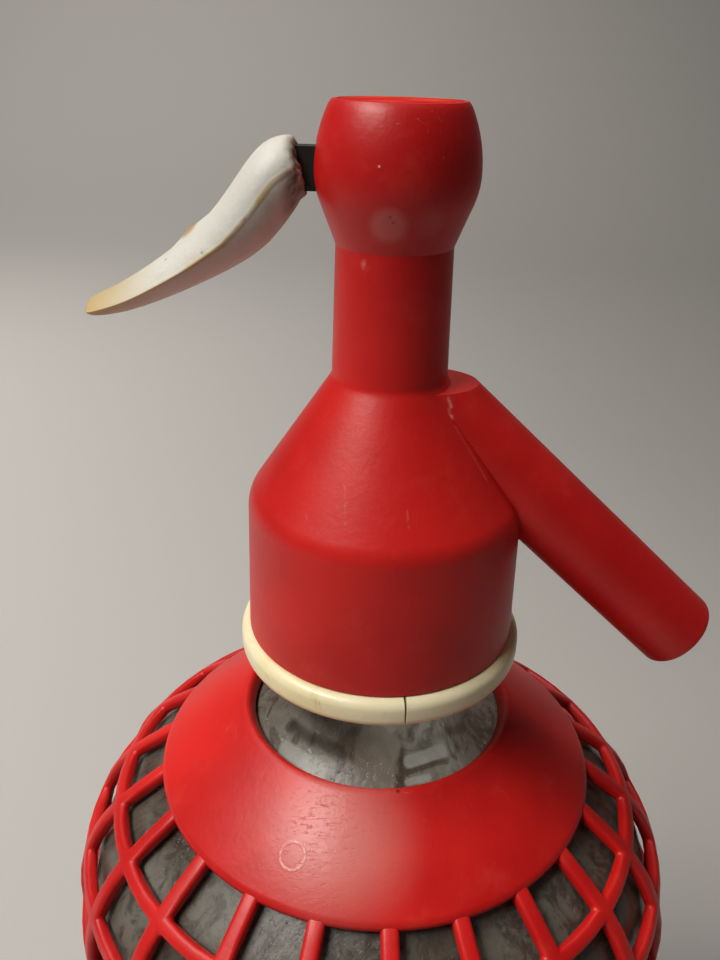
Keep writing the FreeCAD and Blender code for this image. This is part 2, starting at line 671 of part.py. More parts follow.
# The carrier in the ball's well: a turned cup, slotted for the arm and drilled for its pin
carrier_foot = rise("well_rise + 0.5 * fit")
lever_carrier = turned("lever_carrier", [
    ("stem_radius + fit", carrier_foot),
    ("well_radius - fit", carrier_foot),
    ("well_radius - fit", f"{cap_seat} - 0.5 * fit"),
    ("carrier_bore", f"{cap_seat} - 0.5 * fit"),
    ("carrier_bore", f"{carrier_foot} + carrier_floor"),
    ("stem_radius + fit", f"{carrier_foot} + carrier_floor"),
])
carrier_slot = new_sketch(lever_carrier, "YZ_Plane", "carrier_slot_outline")
outline(carrier_slot, [
    (f"-1 * {slot_half}", f"{carrier_foot} + carrier_floor"),
    (slot_half, f"{carrier_foot} + carrier_floor"),
    (slot_half, rise("rim_rise")),
    (f"-1 * {slot_half}", rise("rim_rise")),
])
extrude(lever_carrier, "Pocket", carrier_slot, "carrier_slot", "2 * well_radius", False)
pin_sketch = new_sketch(lever_carrier, "XZ_Plane", "pin_hole_outline")
circle(pin_sketch, "-1 * pivot_out", rise("pivot_rise"), "pin_radius + pin_hold")
extrude(lever_carrier, "Pocket", pin_sketch, "pin_hole", "4 * well_radius")

# The pin that the lever turns on
pivot_pin = new_body("pivot_pin")
pin_outline = new_sketch(pivot_pin, "XZ_Plane", "pin_outline")
circle(pin_outline, "-1 * pivot_out", rise("pivot_rise"), "pin_radius")
pin_reach = "sqrt((well_radius - fit) ^ 2 - (pivot_out + pin_radius) ^ 2)"
extrude(pivot_pin, "Pad", pin_outline, "pin", f"2 * {pin_reach}")

# The arm: a flat steel lever whose nose lifts the stem by its eye
lever_arm = new_body("lever_arm")
tail_sketch = new_sketch(lever_arm, "XZ_Plane", "tail_outline")
outline(tail_sketch, [
    ("-1 * arm_end_out", rise("pivot_rise - arm_half")),
    ("-1 * arm_taper_out", rise("pivot_rise - arm_half")),
    ("-1 * pivot_out", rise("pivot_rise - arm_boss")),
    ("-1 * pivot_out", rise("pivot_rise + arm_boss")),
    ("-1 * arm_taper_out", rise("pivot_rise + arm_half")),
    ("-1 * arm_end_out", rise("pivot_rise + arm_half")),
])
extrude(lever_arm, "Pad", tail_sketch, "tail", "arm_thick")
boss_sketch = new_sketch(lever_arm, "XZ_Plane", "boss_outline")
circle(boss_sketch, "-1 * pivot_out", rise("pivot_rise"), "arm_boss")
extrude(lever_arm, "Pad", boss_sketch, "boss", "arm_thick")
bar_sketch = new_sketch(lever_arm, "XZ_Plane", "bar_outline")
outline(bar_sketch, [
    ("-1 * pivot_out", rise("pivot_rise - arm_bar")),
    ("0", rise("pivot_rise - arm_bar")),
    ("0", rise("pivot_rise + arm_bar")),
    ("-1 * pivot_out", rise("pivot_rise + arm_bar")),
])
extrude(lever_arm, "Pad", bar_sketch, "bar", "arm_thick")
nose_sketch = new_sketch(lever_arm, "XZ_Plane", "nose_outline")
circle(nose_sketch, "0", rise("pivot_rise"), "arm_nose")
extrude(lever_arm, "Pad", nose_sketch, "nose", "arm_thick")
arm_hole = new_sketch(lever_arm, "XZ_Plane", "arm_hole_outline")
circle(arm_hole, "-1 * pivot_out", rise("pivot_rise"), "pin_radius + pin_play")
extrude(lever_arm, "Pocket", arm_hole, "arm_hole", "2 * arm_thick")

# The grip: a horn-shaped moulding over the arm's tail, swept down and out to a flat thumb end
lever_grip = new_body("lever_grip")
sections = []
for station in GRIP:
    section = new_sketch(lever_grip, "YZ_Plane", f"grip_{station}_outline")
    size = {word: f"grip_{station}_{word}" for word in GRIP_SIZES}
    lean = f"{size['lean']} * 1 deg"
    section.AttachmentOffset = FreeCAD.Placement(
        FreeCAD.Vector(0, 0, 0), FreeCAD.Rotation(FreeCAD.Vector(1, 0, 0), 1))
    section.setExpression("AttachmentOffset.Base.y", bound(rise(f"pivot_rise - {size['down']}")))
    section.setExpression("AttachmentOffset.Base.z", bound(f"-1 * {size['out']}"))
    section.setExpression("AttachmentOffset.Rotation.Angle", bound(f"-1 * {size['lean']}"))
    half = f"0.5 * {size['wide']}"
    bulge_radius = f"({size['wide']} * {size['wide']} + {size['tall']} * {size['tall']})" \
                   f" / (4 * {size['tall']})"
    outline(section, [(half, "0"), (f"-1 * {half}", "0")],
            {0: (bulge_radius, -1), 1: (bulge_radius, -1)})
    sections.append(section)
horn = lever_grip.newObject("PartDesign::AdditiveLoft", "horn")
horn.Profile = sections[0]
horn.Sections = sections[1:]
horn.Ruled = False
pocket_sketch = new_sketch(lever_grip, "XZ_Plane", "arm_pocket_outline")
outline(pocket_sketch, [
    ("-1 * (arm_end_out + arm_pocket)", rise("pivot_rise - arm_half - arm_pocket")),
    ("0", rise("pivot_rise - arm_half - arm_pocket")),
    ("0", rise("pivot_rise + arm_half + arm_pocket")),
    ("-1 * (arm_end_out + arm_pocket)", rise("pivot_rise + arm_half + arm_pocket")),
])
extrude(lever_grip, "Pocket", pocket_sketch, "arm_pocket", "arm_thick + 2 * arm_pocket")

doc.recompute()

# Every object is sound before anything is written
faults = [thing.Name for thing in doc.Objects
          if "Invalid" in thing.State or "Error" in thing.State]
parts = [thing for thing in doc.Objects if thing.TypeId == "PartDesign::Body"]
for part in parts:
    shape = part.Shape
    if shape.isNull() or not shape.isValid() or len(shape.Solids) < 1:
        faults.append(part.Label)
if faults:
    raise RuntimeError(f"not sound: {sorted(set(faults))}")

os.makedirs("parts", exist_ok=True)
for part in parts:
    box = part.Shape.BoundBox
    print(f"{part.Label}: {len(part.Shape.Solids)} solid, {part.Shape.Volume:.1f} mm3, "
          f"x {box.XMin:.2f} {box.XMax:.2f}, y {box.YMin:.2f} {box.YMax:.2f}, "
          f"z {box.ZMin:.2f} {box.ZMax:.2f}")
    part.Shape.exportStep(f"parts/{part.Label}.step")
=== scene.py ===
import math

import bmesh
import bpy
from mathutils import Euler, Matrix, Vector, noise


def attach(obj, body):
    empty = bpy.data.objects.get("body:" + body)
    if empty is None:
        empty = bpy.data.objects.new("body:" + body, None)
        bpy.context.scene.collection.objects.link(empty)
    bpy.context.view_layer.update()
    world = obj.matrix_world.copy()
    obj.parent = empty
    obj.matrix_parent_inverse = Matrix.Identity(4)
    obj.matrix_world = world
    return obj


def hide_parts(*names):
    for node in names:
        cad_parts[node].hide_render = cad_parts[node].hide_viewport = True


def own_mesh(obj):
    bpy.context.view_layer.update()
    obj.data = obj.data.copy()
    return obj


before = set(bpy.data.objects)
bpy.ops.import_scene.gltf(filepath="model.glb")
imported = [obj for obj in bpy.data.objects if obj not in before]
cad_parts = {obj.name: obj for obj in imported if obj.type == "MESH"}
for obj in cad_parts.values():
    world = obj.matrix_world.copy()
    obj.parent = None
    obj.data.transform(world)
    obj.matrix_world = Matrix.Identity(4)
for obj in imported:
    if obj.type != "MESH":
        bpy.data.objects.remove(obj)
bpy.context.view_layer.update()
MM = 0.001

# The cup that closes the basket from below: a red moulding with a raised foot and a rounded
# edge. It snaps into the basket's band. The lathe and the shader class, which most pieces
# use, are made here with it.
bpy.ops.object.select_all(action="DESELECT")
TURN_STEPS, MERGE_GAP = 96, 0.004


def start_piece(name):
    """Name the new primitive, open its mesh and leave all of it selected."""
    piece = bpy.context.object
    piece.name = name
    piece.data.name = name
    bpy.ops.object.mode_set(mode="EDIT")
    bpy.ops.mesh.select_all(action="SELECT")
    return piece


def settle(piece, angle=35):
    """Close the mesh's doubles, point it outwards, bake its place and shade it."""
    bpy.ops.mesh.select_all(action="SELECT")
    bpy.ops.mesh.remove_doubles(threshold=MERGE_GAP * MM)
    bpy.ops.mesh.normals_make_consistent(inside=False)
    bpy.ops.object.mode_set(mode="OBJECT")
    bpy.ops.object.transform_apply(location=True, rotation=True, scale=True)
    bpy.ops.object.shade_smooth_by_angle(angle=math.radians(angle))
    piece.select_set(False)
    return piece


def lathe(name, stops, steps=TURN_STEPS):
    """Turn a piece: a circle at the first stop, drawn on through each (radius, height) in mm."""
    radius, height = stops[0]
    bpy.ops.mesh.primitive_circle_add(vertices=steps, radius=radius * MM, location=(0, 0, 0))
    piece = start_piece(name)
    bpy.ops.transform.translate(value=(0, 0, height * MM))
    for new_radius, new_height in stops[1:]:
        rise = (new_height - height) * MM
        bpy.ops.mesh.extrude_edges_move(TRANSFORM_OT_translate={"value": (0, 0, rise)})
        share = new_radius / radius
        bpy.ops.transform.resize(value=(share, share, 1), center_override=(0, 0, new_height * MM))
        radius, height = new_radius, new_height
    return piece


def arc(centre, radius, start, end, steps):
    """Stops along an arc, from one angle to another, in degrees from level."""
    return [(centre[0] + radius * math.cos(math.radians(start + (end - start) * i / steps)),
             centre[1] + radius * math.sin(math.radians(start + (end - start) * i / steps)))
            for i in range(steps + 1)]


class Value:
    """A shader socket that can be worked with as a number."""

    def __init__(self, tree, socket):
        self.tree = tree
        self.socket = socket

    def node(self, kind, settings=None, output=0, **sockets):
        """Any other node: its settings first, then its sockets' values or links."""
        made = self.tree.nodes.new(kind)
        for name, setting in (settings or {}).items():
            setattr(made, name, setting)
        for name, given in sockets.items():
            slot = made.inputs[int(name[1:])] if name[0] == "_" else made.inputs[name]
            if isinstance(given, Value):
                self.tree.links.new(given.socket, slot)
            else:
                slot.default_value = given
        return Value(self.tree, made.outputs[output])

    def sum(self, kind, *numbers):
        """A Math node of that kind on these numbers."""
        return self.node("ShaderNodeMath", {"operation": kind},
                         **{f"_{i}": number for i, number in enumerate(numbers)})

    def __add__(self, other):
        return self.sum("ADD", self, other)

    __radd__ = __add__

    def __sub__(self, other):
        return self.sum("SUBTRACT", self, other)

    def __rsub__(self, other):
        return self.sum("SUBTRACT", other, self)

    def __mul__(self, other):
        return self.sum("MULTIPLY", self, other)

    __rmul__ = __mul__

    def over(self, low, high):
        """0 below low, 1 above high, smooth between."""
        return self.node("ShaderNodeMapRange", {"interpolation_type": "SMOOTHSTEP"},
                         Value=self, _1=low, _2=high)

    def noise(self, scale, detail=3.0, roughness=0.5, distortion=0.0, seed=0.0):
        """Noise over the piece: scale in features per metre."""
        return self.node("ShaderNodeTexNoise", {"noise_dimensions": "4D"}, Vector=self, W=seed,
                         Scale=scale, Detail=detail, Roughness=roughness, Distortion=distortion)

    def stretched(self, across, along, up):
        """The place with its three axes scaled, so that a pattern on it is drawn out."""
        return self.node("ShaderNodeMapping", {"vector_type": "POINT"}, Vector=self,
                         Scale=(across, along, up))

    def blend(self, first, second):
        """The first colour where this is 0, the second where it is 1."""
        return self.node("ShaderNodeMix", {"data_type": "RGBA"}, output=2, _0=self, _6=first, _7=second)

    def near(self, point, radius, soft):
        """1 within a radius of a point, in mm, and 0 past its soft edge."""
        gap = self.node("ShaderNodeVectorMath", {"operation": "DISTANCE"}, output=1, _0=self,
                        _1=tuple(p * MM for p in point))
        return 1 - gap.over(radius * MM, (radius + soft) * MM)

    def vector(self, kind, other, output=0):
        """A Vector Math node of that kind on this and another."""
        return self.node("ShaderNodeVectorMath", {"operation": kind}, output, _0=self, _1=other)

    def streak(self, start, end, radius, soft):
        """1 within a radius of the line between two points, in mm, and 0 past its soft edge."""
        first = Vector(start) * MM
        way = Vector(end) * MM - first
        share = self.vector("SUBTRACT", tuple(first)).vector("DOT_PRODUCT", tuple(way), 1)
        share = share.node("ShaderNodeClamp", Value=share * (1 / way.length_squared))
        along = share.node("ShaderNodeVectorMath", {"operation": "SCALE"}, _0=tuple(way), Scale=share)
        foot = along.vector("ADD", tuple(first))
        gap = self.vector("DISTANCE", foot, 1)
        return 1 - gap.over(radius * MM, (radius + soft) * MM)


def new_material(name):
    """A material with its shader, and the piece's own coordinates to work from."""
    material = bpy.data.materials.new(name)
    material.use_nodes = True
    tree = material.node_tree
    shader = tree.nodes["Principled BSDF"]
    place = tree.nodes.new("ShaderNodeTexCoord").outputs["Object"]
    return material, shader, Value(tree, place)


def feed(shader, **sockets):
    """Set or link the shader's sockets; an underscore stands for a space."""
    for name, given in sockets.items():
        slot = shader.inputs[name.replace("_", " ")]
        if isinstance(given, Value):
            given.tree.links.new(given.socket, slot)
        else:
            slot.default_value = given


def bumps(height, strength, distance):
    """A surface's relief, from its height."""
    return height.node("ShaderNodeBump", Height=height, Strength=strength, Distance=distance)


RED = (0.60, 0.011, 0.008, 1)
RED_DEEP = (0.46, 0.005, 0.005, 1)
RED_CHALK = (0.62, 0.045, 0.032, 1)
RED_DARK = (0.10, 0.003, 0.004, 1)
SCUFF_AND_HIGHLIGHT_WHITE = (0.80, 0.50, 0.44, 1)
RIM_BEIGE = (0.42, 0.30, 0.16, 1)
BALL_PATCH, BALL_PATCH_RIGHT = (-0.9, -9.9, 281.4), (4.6, -9.0, 281.8)
BALL_NICKS = ((-0.7, -10.4, 282.6), (-0.3, -10.2, 281.9), (-1.2, -10.2, 281.2))
BALL_SPECK, NECK_SCAR, COLLAR_DOT = (-2.3, -11.0, 288.7), (-3.8, -7.4, 275.9), (3.9, -23.1, 198.5)
GATE_MARK, GATE_RADIUS, COLLAR_RUB_AND_HIGHLIGHT = (-11.8, -30.3, 191.5), 2.0, (-4.5, -29.2, 193.8)
SEAM_MARKS = (((8.6, -6.1, 257.2), (9.0, -6.3, 255.9)), ((8.7, -6.2, 255.4), (9.2, -6.6, 254.3)),
              ((9.6, -6.9, 253.0), (14.6, -8.4, 245.4)), ((14.6, -8.4, 245.4), (19.4, -8.5, 237.4)))
CONE_SCARS = (((-5.6, -15.0, 247.1), (-5.3, -18.3, 242.5)), ((-11.4, -15.2, 242.9), (-10.6, -16.2, 241.8)),
              ((3.2, -17.4, 244.5), (3.5, -18.6, 242.6)))
red_plastic, red_shader, place = new_material("red_plastic")
cloud = place.noise(38, 3, 0.55, seed=1.7)
fine = place.noise(900, 3, 0.6, seed=4.1)
scratch = place.stretched(260, 2600, 900).noise(1, 2, 0.6, 1.4, seed=2.0).over(0.66, 0.74)
cross_scratch = place.stretched(2100, 240, 700).noise(1, 2, 0.6, 1.1, seed=7.0).over(0.68, 0.76)
worn = place.noise(70, 4, 0.6, seed=9.0).over(0.5, 0.68)
marks = (scratch + cross_scratch) * worn
tone = cloud.over(0.34, 0.66).blend(RED_DEEP, RED)
colour = (place.noise(150, 4, 0.65, seed=3.3).over(0.52, 0.74) * 0.30).blend(tone, RED_CHALK)
colour = (marks * 0.12).blend(colour, SCUFF_AND_HIGHLIGHT_WHITE)
broken = place.noise(1100, 3, 0.6, seed=5.5).over(0.38, 0.62)
patch = place.near(BALL_PATCH, 1.5, 1.6) * 0.15 + place.near(BALL_PATCH_RIGHT, 0.4, 2.4) * 0.06
pale = patch + place.near(NECK_SCAR, 0.1, 0.9) * broken * 0.22 + place.near(BALL_SPECK, 0.1, 0.12) * 0.6
for start, end in SEAM_MARKS[:2]:
    pale = pale + place.streak(start, end, 0.03, 0.42) * broken * 0.45
for start, end in SEAM_MARKS[2:]:
    pale = pale + place.streak(start, end, 0.05, 0.35) * (0.06 + broken * 0.16)
for start, end in CONE_SCARS:
    pale = pale + place.streak(start, end, 0.02, 0.25) * broken * 0.08
gate_gap = place.vector("DISTANCE", tuple(number * MM for number in GATE_MARK), 1)
gate_off = gate_gap.sum("ABSOLUTE", gate_gap - GATE_RADIUS * MM)
gate = (1 - gate_off.over(0.08 * MM, 0.34 * MM)) * (0.35 + broken * 0.65)
strokes = place.stretched(700, 3000, 3000).noise(1, 3, 0.65, 0.6, seed=6.6).over(0.55, 0.72)
# The collar's rubbed patch is real scuffing with fine dark strokes, and also a painted highlight: its
# whitish blend paints the sheen of the light on the collar's front.
rubbed_and_highlight = place.near(COLLAR_RUB_AND_HIGHLIGHT, 1.5, 13.0)
pale = pale + gate * 0.42 + rubbed_and_highlight * 0.30
nicked = place.near(COLLAR_DOT, 0.15, 0.3) * 0.8 + strokes * rubbed_and_highlight * 0.28
for nick in BALL_NICKS:
    nicked = nicked + place.near(nick, 0.08, 0.22) * 0.55
colour = pale.sum("MINIMUM", pale, 1.0).blend(colour, SCUFF_AND_HIGHLIGHT_WHITE)
colour = nicked.sum("MINIMUM", nicked, 1.0).blend(colour, RED_DARK)
height = place.node("ShaderNodeSeparateXYZ", output=2, Vector=place)
depth = place.node("ShaderNodeSeparateXYZ", output=1, Vector=place)
rim_edge = height.over(295.35 * MM, 295.6 * MM) * depth.over(3.0 * MM, 6.5 * MM)
colour = (rim_edge * 0.8).blend(colour, RIM_BEIGE)
feed(red_shader, Base_Color=colour, Roughness=0.36 + cloud * 0.12 + marks * 0.2 - rubbed_and_highlight * 0.1,
     Specular_IOR_Level=0.40, IOR=1.5,
     Normal=bumps(fine * 0.5 + marks * 0.6 + cloud * 1.5 + gate * 0.8 - strokes * rubbed_and_highlight * 0.7,
                  0.20, 0.0004))

CUP_LIFT, CUP_CORNER, CUP_TOP = 1.0, 5.0, 9.7
CUP_RADIUS, FOOT_INNER, CUP_WALL, CUP_FLOOR = 55.38, 44.0, 2.7, 1.4
cup_stops = [(0.01, CUP_LIFT), (FOOT_INNER - 2, CUP_LIFT), (FOOT_INNER - 0.6, CUP_LIFT - 0.2),
             (FOOT_INNER + 0.3, 0.0)]
cup_stops += arc((CUP_RADIUS - CUP_CORNER, CUP_CORNER), CUP_CORNER, -90, 0, 8)
cup_stops += [(CUP_RADIUS, CUP_TOP - 0.3), (CUP_RADIUS - 0.25, CUP_TOP - 0.05),
              (CUP_RADIUS - CUP_WALL, CUP_TOP - 0.05), (CUP_RADIUS - CUP_WALL, CUP_CORNER + CUP_FLOOR),
              (CUP_RADIUS - CUP_WALL - CUP_CORNER, CUP_LIFT + CUP_FLOOR), (0.01, CUP_LIFT + CUP_FLOOR)]
base_cup = settle(lathe("base_cup_shell", cup_stops))
base_cup.data.materials.append(red_plastic)
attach(base_cup, "siphon")
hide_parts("base_cup")

# The pad that the bottle stands on and the washers of the head: cut or moulded from black
# rubber, dusty with age. They lie out of sight and keep their own shapes.
RUBBER_BLACK, RUBBER_DUST = (0.022, 0.020, 0.019, 1), (0.10, 0.09, 0.08, 1)
rubber, rubber_shader, place = new_material("rubber")
dust = place.noise(220, 3, 0.6).over(0.45, 0.75)
feed(rubber_shader, Base_Color=dust.blend(RUBBER_BLACK, RUBBER_DUST),
     Roughness=0.62 + dust * 0.2, Normal=bumps(place.noise(1500, 2), 0.2, 0.0002))
for node in ("base_pad", "neck_gasket", "seat_washer", "valve_seal", "packing_ring"):
    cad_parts[node].data.materials.clear()
    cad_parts[node].data.materials.append(rubber)

# The bottle: thick blown glass with a beaded mouth, clouded and scratched by years of washing.
# It stands on the pad, inside the basket. Each stain, and the painted band where the dip tube
# shows through, is a stroke on its shoulder: two ends, a radius, a soft edge, a strength and a colour.
BODY_RADIUS, SHOULDER_HEIGHT, SHOULDER_RADIUS, CONE_SLOPE = 55.1, 160.0, 28.0, 37.5
GLASS_DEPTH, GLASS_WALL, NECK_RADIUS, MOUTH_RADIUS = 2.9, 4.0, 15.2, 10.6
NECK_FILLET, MOUTH_FILLET, LIP_HEIGHT, BEAD_RADIUS = 12.0, 16.0, 226.0, 17.2
GLASS_FOOT, HEEL_RADIUS, PUNT_RADIUS, PUNT_RISE, GLASS_FLOOR = 4.0, 13.0, 34.0, 6.0, 6.5
BEAD_TALL, BEAD_UNDER, BEAD_ROUND, MOUTH_ROUND = 8.0, 10.0, 1.5, 0.8
SHOULDER_CENTRE = (BODY_RADIUS - SHOULDER_RADIUS, SHOULDER_HEIGHT)


def cone_height(depth, radius):
    """The height of the sloping shoulder at a radius, that depth under the basket's outside."""
    turned = math.radians(90 - CONE_SLOPE)
    across = SHOULDER_CENTRE[0] + (SHOULDER_RADIUS - depth) * math.cos(turned)
    up = SHOULDER_CENTRE[1] + (SHOULDER_RADIUS - depth) * math.sin(turned)
    return up + (across - radius) * math.tan(math.radians(CONE_SLOPE))


def neck_arc(depth, radius, fillet, steps):
    """Stops of the hollow curve between the sloping shoulder and an upright neck."""
    reach = fillet * math.tan(math.radians((90 - CONE_SLOPE) / 2))
    centre = (radius + fillet, cone_height(depth, radius) + reach)
    return arc(centre, fillet, 270 - CONE_SLOPE, 180, steps)


glass_radius = BODY_RADIUS - GLASS_DEPTH
inner_radius = glass_radius - GLASS_WALL
glass_stops = [(0.01, GLASS_FOOT + PUNT_RISE), (PUNT_RADIUS / 2, GLASS_FOOT + PUNT_RISE * 0.8),
               (PUNT_RADIUS, GLASS_FOOT + 0.6)]
glass_stops += arc((glass_radius - HEEL_RADIUS, GLASS_FOOT + HEEL_RADIUS), HEEL_RADIUS, -90, 0, 10)
glass_stops += arc(SHOULDER_CENTRE, SHOULDER_RADIUS - GLASS_DEPTH, 0, 90 - CONE_SLOPE, 14)
glass_stops += neck_arc(GLASS_DEPTH, NECK_RADIUS, NECK_FILLET, 10)
glass_stops += [(NECK_RADIUS, LIP_HEIGHT - BEAD_UNDER), (BEAD_RADIUS, LIP_HEIGHT - BEAD_TALL),
                (BEAD_RADIUS, LIP_HEIGHT - BEAD_ROUND), (BEAD_RADIUS - BEAD_ROUND, LIP_HEIGHT),
                (MOUTH_RADIUS + MOUTH_ROUND, LIP_HEIGHT), (MOUTH_RADIUS, LIP_HEIGHT - MOUTH_ROUND)]
glass_stops += reversed(neck_arc(GLASS_DEPTH + GLASS_WALL, MOUTH_RADIUS, MOUTH_FILLET, 10))
glass_stops += reversed(
    arc(SHOULDER_CENTRE, SHOULDER_RADIUS - GLASS_DEPTH - GLASS_WALL, 0, 90 - CONE_SLOPE, 14))
inner_heel = HEEL_RADIUS - GLASS_WALL
glass_stops += reversed(arc(
    (inner_radius - inner_heel, GLASS_FOOT + GLASS_FLOOR + inner_heel), inner_heel, -90, 0, 8))
glass_stops += [(PUNT_RADIUS / 2, GLASS_FOOT + GLASS_FLOOR + PUNT_RISE * 0.8),
                (0.01, GLASS_FOOT + GLASS_FLOOR + PUNT_RISE)]
bottle = settle(lathe("bottle_glass", glass_stops, 128), 50)
GLASS_BROWN, GLASS_GREY = (0.12, 0.085, 0.062, 1), (0.32, 0.32, 0.265, 1)
GLASS_DARK, GLASS_PALE = (0.055, 0.034, 0.024, 1), (0.46, 0.48, 0.43, 1)
PAINTED_TUBE_MILK = (0.23, 0.20, 0.16, 1)
GLASS_STAINS_AND_PAINTED_BAND = (((-13.2, -10.6, 199.0), (-5.6, -16.2, 199.3), 0.9, 1.2, 0.9, GLASS_DARK),
                # Painted light and shade: the next three strokes paint the dip tube seen through the
                # glass, a milky band in the head's shadow between two dark edges.
                ((-5.3, -17.4, 198.3), (-5.9, -20.6, 196.1), 0.4, 0.7, 0.8, GLASS_DARK),
                ((0.1, -16.0, 201.0), (0.1, -23.0, 194.0), 2.9, 0.7, 0.65, PAINTED_TUBE_MILK),
                ((4.3, -15.6, 200.8), (4.6, -22.4, 194.0), 0.2, 0.5, 0.7, GLASS_DARK),
                ((5.8, -17.1, 198.9), (11.0, -14.4, 198.9), 0.8, 0.6, 0.6, GLASS_PALE),
                ((5.6, -19.7, 197.0), (8.8, -18.4, 197.0), 0.35, 0.5, 0.55, GLASS_PALE),
                ((5.4, -18.5, 197.9), (12.2, -15.2, 198.0), 0.2, 0.5, 0.7, GLASS_DARK),
                ((10.0, -12.4, 200.4), (14.6, -9.4, 199.6), 0.5, 0.9, 0.6, GLASS_DARK),
                ((-14.8, -13.6, 196.9), (-8.6, -18.2, 197.0), 0.9, 0.9, 0.75, GLASS_PALE),
                ((-15.6, -11.9, 197.4), (-15.4, -12.0, 197.4), 0.08, 0.25, 0.8, GLASS_PALE),
                ((-10.7, -15.1, 198.4), (-10.4, -15.5, 198.3), 0.08, 0.25, 0.9, GLASS_PALE))
glass, glass_shader, place = new_material("glass")
haze = place.stretched(1, 1, 0.6).noise(55, 5, 0.65, 0.8, seed=5.0).over(0.33, 0.70)
smear = place.stretched(1, 1, 0.45).noise(240, 5, 0.66, 1.6, seed=3.0).over(0.46, 0.62)
streak = place.stretched(1, 1, 0.18).noise(160, 4, 0.6, 0.5, seed=8.0)
scratches = place.stretched(1500, 1500, 260).noise(1, 4, 0.7, 0.9, seed=2.2).over(0.56, 0.70)
tint = haze.blend(GLASS_BROWN, GLASS_GREY)
tint = (smear * 0.7).blend(tint, GLASS_DARK)
tint = (scratches * 0.5).blend(tint, GLASS_PALE)
outward = place.node("ShaderNodeSeparateXYZ", output=0, Vector=place)
height = place.node("ShaderNodeSeparateXYZ", output=2, Vector=place)
tint = ((1 - height.over(180 * MM, 195 * MM)) * 0.3).blend(tint, GLASS_DARK)
for start, end, radius, soft, share, colour in GLASS_STAINS_AND_PAINTED_BAND:
    tint = (place.streak(start, end, radius, soft) * share).blend(tint, colour)
# Painted light: above the collar, the glass right of the dip tube glows with its own tint, though no lamp
# is there, lifting it out of the head's shadow.
painted_glow = height.over(192 * MM, 197 * MM) * outward.over(-9 * MM, 3 * MM)
feed(glass_shader, Base_Color=tint, Roughness=0.22 + haze * 0.26 + scratches * 0.2, IOR=1.5,
     Emission_Color=painted_glow.blend((0, 0, 0, 1), tint), Emission_Strength=0.30,
     Transmission_Weight=0.5, Normal=bumps(streak * 0.6 + haze * 0.5 + scratches * 0.3, 0.3, 0.0005))
bottle.data.materials.append(glass)
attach(bottle, "siphon")
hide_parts("glass_bottle")

# The basket: one red moulding over the bottle. A smooth collar runs down the shoulder, and
# below it upright ribs and level rings, rounded where they cross, end in a band at the foot.
RIB_COUNT, RIB_WIDTH, RIB_TURN, RIB_WALL = 22, 2.8, -3.2, 2.2
RING_FIRST, RING_PITCH, RING_WIDTH = 22.0, 12.4, 2.5
COLLAR_EDGE, COLLAR_HOLE, BAND_TOP, BAND_FOOT = 38.6, 22.8, 22.0, 9.75
COLLAR_WALL, COLLAR_PROUD, BAND_WALL, BAND_PROUD = 2.5, 0.3, 2.6, 0.28
WINDOW_STEPS, RIB_ROUND = 4, 0.75


def finish_with(piece, kind, **settings):
    """Add a modifier and apply it."""
    bpy.context.view_layer.objects.active = piece
    modifier = piece.modifiers.new(kind.title(), kind)
    for name, setting in settings.items():
        setattr(modifier, name, setting)
    bpy.ops.object.modifier_apply(modifier=modifier.name)


def on_basket(travel):
    """The basket's outside at a distance up its wall from where the shoulder springs."""
    turn = math.degrees(travel / SHOULDER_RADIUS)
    if travel <= 0:
        return BODY_RADIUS, SHOULDER_HEIGHT + travel
    if turn <= 90 - CONE_SLOPE:
        return arc(SHOULDER_CENTRE, SHOULDER_RADIUS, turn, turn, 1)[0]
    along = travel - SHOULDER_RADIUS * math.radians(90 - CONE_SLOPE)
    radius, height = arc(SHOULDER_CENTRE, SHOULDER_RADIUS, 90 - CONE_SLOPE, 90 - CONE_SLOPE, 1)[0]
    slope = math.radians(CONE_SLOPE)
    return radius - along * math.cos(slope), height + along * math.sin(slope)


cone_travel = SHOULDER_RADIUS * math.radians(90 - CONE_SLOPE)
corner_radius = on_basket(cone_travel)[0]
collar_travel = cone_travel + (corner_radius - COLLAR_EDGE) / math.cos(math.radians(CONE_SLOPE))
travels = [BAND_TOP - RIB_WIDTH - SHOULDER_HEIGHT]
is_window_row = []
ring_travels = []
step = 0
while SHOULDER_HEIGHT + RING_FIRST - step * RING_PITCH - RING_WIDTH > BAND_TOP:
    ring_travels.insert(0, RING_FIRST - step * RING_PITCH)
    step += 1
for ring_travel in ring_travels + [collar_travel + RING_WIDTH]:
    low, high = travels[-1], ring_travel - RING_WIDTH / 2
    for i in range(1, WINDOW_STEPS):
        travels.append(low + (high - low) * i / (WINDOW_STEPS - 1))
        is_window_row.append(True)
    if ring_travel < collar_travel:
        travels.append(ring_travel + RING_WIDTH / 2)
        is_window_row.append(False)
basket_mesh = lathe("basket_mesh", [on_basket(travel) for travel in travels],
                    RIB_COUNT * WINDOW_STEPS)
sector = 360 / RIB_COUNT
mesh = bmesh.from_edit_mesh(basket_mesh.data)
for vertex in mesh.verts:
    angle = math.degrees(math.atan2(vertex.co.y, vertex.co.x))
    column = round(angle / (sector / WINDOW_STEPS))
    within = column % WINDOW_STEPS
    radius = math.hypot(vertex.co.x, vertex.co.y)
    edge = math.degrees(RIB_WIDTH / 2 * MM / radius)
    places = [-edge, edge, sector / 3 + edge / 3, 2 * sector / 3 - edge / 3]
    turned = math.radians((column // WINDOW_STEPS) * sector + places[within])
    vertex.co.x, vertex.co.y = radius * math.cos(turned), radius * math.sin(turned)
